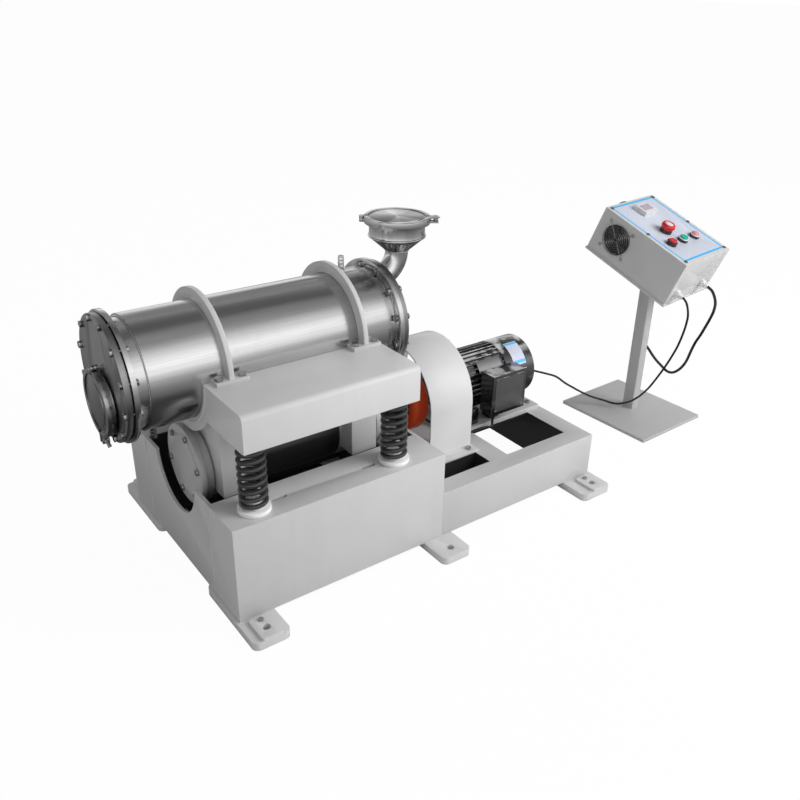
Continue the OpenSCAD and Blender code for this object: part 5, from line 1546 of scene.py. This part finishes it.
@dataclass
class ControlStand:
    """The post, the tilted box and everything on its panel."""

    box: BoxFrame
    stop_at: tuple[float, float] = (-0.027, -0.008)
    red_at: tuple[float, float] = (-0.069, -0.057)
    green_at: tuple[float, float] = (-0.011, -0.057)
    lamp_at: tuple[float, float] = (0.050, -0.057)
    display_at: tuple[float, float] = (0.0, 0.087)
    display: tuple[float, float, float] = (0.058, 0.043, 0.013)
    bezel_r: float = 0.0145
    bezel_h: float = 0.010
    button_r: float = 0.0108
    fan_at: tuple[float, float] = (0.070, 0.004)
    guard_rings: int = 7
    guard_r: float = 0.0420

    def build(self) -> None:
        """Dresses the stand and builds the panel's fittings."""
        softened("control_stand", Shop.STAND, 0.0015)
        softened("control_box", Shop.BOX, 0.0012)
        softened("back_plate", Shop.BOX, 0.0010)
        softened("control_panel", Shop.PANEL, 0.0006)
        softened("cable_glands", Shop.GLAND, 0.0004)
        softened("fan_frame", Shop.BLACK, 0.0008)
        softened("fan_rotor", Shop.BLACK, 0.0004)
        self._bezels()
        self._indicators()
        self._stop()
        self._key("red_button", self.red_at, Shop.RED, 0.0006)
        self._key("green_button", self.green_at, Shop.GREEN, 0.0)
        self._guard()

    def _bezels(self) -> None:
        """Makes the black bodies and pale rims round the keys and the lamp."""
        r, h, hole = self.bezel_r, self.bezel_h, self.button_r + 0.0003
        parts = []
        for at in (self.red_at, self.green_at, self.lamp_at):
            base = self.box.stand_on(*at)
            rim = at is not self.red_at
            body_h = h - 0.003 if rim else h
            parts.append((turned([(hole, 0.0), (r, 0.0), (r, body_h - 0.0008),
                                  (r - 0.0008, body_h), (hole, body_h), (hole, 0.0)], base),
                          Shop.BLACK))
            if rim:
                parts.append((turned([(hole, body_h), (r - 0.0006, body_h),
                                      (r - 0.0002, body_h + 0.0008), (r - 0.0006, h - 0.0004),
                                      (r - 0.0016, h), (hole + 0.0006, h),
                                      (hole, h - 0.0006), (hole, body_h)], base), Shop.PALE))
        collar = self.box.stand_on(*self.stop_at)
        parts.append((turned([(0.0153, 0.0), (0.017, 0.0), (0.017, 0.0072), (0.0166, 0.008),
                              (0.0153, 0.008), (0.0153, 0.0)], collar), Shop.BLACK))
        for number, (mesh, finish) in enumerate(parts):
            stand_in("button_bezels", f"bezel_{number}", mesh, finish)

    def _key(self, node: str, at: tuple[float, float], finish: Finish, crown: float) -> None:
        """Makes a push key with a softly rounded cap.

        Args:
            node: The CAD node that it stands for.
            at: Its place on the panel.
            finish: Its finish.
            crown: How far the cap stands above the rim's level at its middle.
        """
        r, top = self.button_r, self.bezel_h + 0.004
        profile = [(0.0, -0.013), (r, -0.013), (r, top - 0.0014), (r - 0.0004, top - 0.0005),
                   (r - 0.0014, top), (r - 0.0022, top - 0.0003), (r - 0.0032, top - 0.0005),
                   (0.0, top - 0.0005 + crown)]
        stand_in(node, node + "_cap", turned(profile, self.box.stand_on(*at)), finish)

    def _stop(self) -> None:
        """Makes the mushroom stop button with its pale middle."""
        at = self.box.stand_on(*self.stop_at)
        low = 0.014
        red = [(0.0, -0.013), (0.015, -0.013), (0.015, low), (0.0185, low + 0.0004),
               (0.0197, low + 0.0016), (0.02, low + 0.0036), (0.0196, low + 0.0066),
               (0.0182, low + 0.0096), (0.0162, low + 0.0113), (0.0142, low + 0.0118),
               (0.0128, low + 0.0112), (0.0118, low + 0.0102), (0.0, low + 0.0102)]
        pale = [(0.0, low + 0.0098), (0.0112, low + 0.0098), (0.0112, low + 0.0106),
                (0.0104, low + 0.0112), (0.0, low + 0.0116)]
        for name, profile, finish in (("stop_button_cap", red, Shop.RED),
                                      ("stop_button_middle", pale, Shop.PALE)):
            stand_in("stop_button", name, turned(profile, at), finish)

    def _indicators(self) -> None:
        """Makes the display with its tinted window, and the lamp."""
        length, width, height = self.display
        cx, cy = self.display_at
        top = self.box.half[2]

        def plate(name: str, l: float, w: float, low: float, high: float, finish: Finish,
                  edge: float) -> None:
            """Makes one plate of the display."""
            outline = [self.box.point(cx + sx * l / 2, cy + sy * w / 2, top + low)
                       for sx, sy in SQUARE]
            lift = self.box.point(0, 0, high) - self.box.point(0, 0, low)
            stand_in("panel_indicators", name, slab(outline, lift, edge), finish)

        plate("display_body", length, width, 0.0, height, Shop.CREAM, 0.0018)
        plate("display_window", length * 0.74, width * 0.56, height - 0.002, height + 0.0004,
              Shop.SCREEN, 0.0006)
        at = self.box.stand_on(*self.lamp_at)
        r, h = self.button_r, self.bezel_h
        lens = [(0.0, h - 0.004), (r, h - 0.004), (r, h + 0.001), (r * 0.93, h + 0.0025),
                (r * 0.75, h + 0.0038), (r * 0.4, h + 0.0046), (0.0, h + 0.0049)]
        stem = [(0.0, -0.003), (r, -0.003), (r, h - 0.004), (0.0, h - 0.004)]
        for name, profile, finish in (("lamp_lens", lens, Shop.PINK),
                                      ("lamp_stem", stem, Shop.BLACK)):
            stand_in("panel_indicators", name, turned(profile, at, 48), finish)

    def _guard(self) -> None:
        """Grows the fan's finger guard: rings, two long wires and four screw tabs."""
        tree = Growth("finger_guard", {"Rings": 7, "Outer radius": 0.0420, "Wire radius": 0.0009})
        centres = tree.term("GeometryNodeMeshLine", {"mode": "OFFSET"},
                            {"Count": tree.size("Rings"), "Offset": (0.0, 0.0, 0.0)})
        index = tree.term("GeometryNodeInputIndex")
        size = (index + 1.0) / tree.size("Rings")
        loop = tree.term("GeometryNodeCurvePrimitiveCircle", None,
                         {"Resolution": 72, "Radius": tree.size("Outer radius")})
        scale = tree.term("ShaderNodeCombineXYZ", None, {0: size, 1: size, 2: 1.0})
        loops = tree.term("GeometryNodeInstanceOnPoints", None,
                          {"Points": centres, "Instance": loop, "Scale": scale})
        real = tree.term("GeometryNodeRealizeInstances", None, {0: loops})
        spokes = tree.term("GeometryNodeMeshToCurve", None, {"Mesh": tree.size("Places")})
        both = tree.node("GeometryNodeJoinGeometry")
        tree.tree.links.new(real.socket, both.inputs[0])
        tree.tree.links.new(spokes.socket, both.inputs[0])
        section = tree.term("GeometryNodeCurvePrimitiveCircle", None,
                            {"Resolution": 8, "Radius": tree.size("Wire radius")})
        wires = tree.term("GeometryNodeCurveToMesh", None,
                          {"Curve": Term(tree, both.outputs[0]), "Profile Curve": section,
                           "Fill Caps": True})
        tree.end(wires, Shop.ZINC)
        reach, drop = 0.0552, 0.0011
        spots, edges = [], []
        for quarter in range(4):
            a = math.pi / 4 + quarter * math.pi / 2
            way = Vector((math.cos(a), math.sin(a), 0.0))
            first = len(spots)
            spots += [tuple(way * q) for q in (0.004, reach * 0.5, reach)]
            edges += [(first, first + 1), (first + 1, first + 2)]
        mesh = bpy.data.meshes.new("spokes")
        mesh.from_pydata([(x, y, z - 2 * drop) for x, y, z in spots], edges, [])
        grown = tree.bake(mesh, Rings=self.guard_rings, Outer_radius=self.guard_r,
                          Wire_radius=0.0009)
        at = self.box.matrix() @ Matrix.Translation(
            (-self.box.half[0] - 0.0045, self.fan_at[0], self.fan_at[1])
        ) @ Euler((0.0, -math.pi / 2, 0.0), "XYZ").to_matrix().to_4x4()
        grown.transform(at)
        stand_in("fan_guard", "finger_guard", grown, Shop.ZINC, 60.0)
        for quarter in range(4):
            a = math.pi / 4 + quarter * math.pi / 2
            spot = at @ Matrix.Translation((reach * math.cos(a), reach * math.sin(a), -0.0045))
            tab = turned([(0.0, 0.0), (0.0042, 0.0), (0.0042, 0.0016), (0.0032, 0.0028),
                          (0.0022, 0.0042), (0.0, 0.0042)], spot, 24)
            stand_in("fan_guard", f"guard_screw_{quarter}", tab, Shop.ZINC)


class Inside:
    """Pieces inside the machine, which keep their CAD shape and get a finish."""

    FINISHES: Mapping[str, Finish] = {
        "motor_core": Shop.COPPER,
        "motor_bearings": Shop.GROUND,
        "motor_rotor": Shop.CAST,
        "exciter_bearings": Shop.GROUND,
        "exciter_shaft": Shop.GROUND,
        "eccentric_weights": Shop.CAST,
        "grinding_balls": Shop.GROUND,
        "inverter": Shop.BLACK,
    }

    def build(self) -> None:
        """Gives each node listed in FINISHES its finish."""
        for name, node in frame["nodes"].items():
            finish = self.FINISHES.get(name)
            if finish is None:
                continue
            for place in node.material_slots:
                place.link = "OBJECT"
                place.material = finish.material()
            LOG.info("%s keeps its shape, finished as %s", name, finish.name)


def main() -> None:
    """Builds the scene in order."""
    logging.basicConfig(level=logging.INFO, format="%(name)s: %(message)s")
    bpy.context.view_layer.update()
    Studio().build()
    box = BoxFrame()
    Cords(box).build()
    Suspension().build()
    WeldedBase().build()
    ShakenBody().build()
    FeedHopper().build()
    ClampSet("hopper", "hopper_lid", Shop.LID_DISC, Shop.CLAMP).build()
    ClampSet("discharge", "discharge_cap", Shop.CAP_DISC, Shop.PORT_CLAMP).build()
    Drive().build()
    ControlStand(box).build()
    Inside().build()


if __name__ == "__main__":
    main()
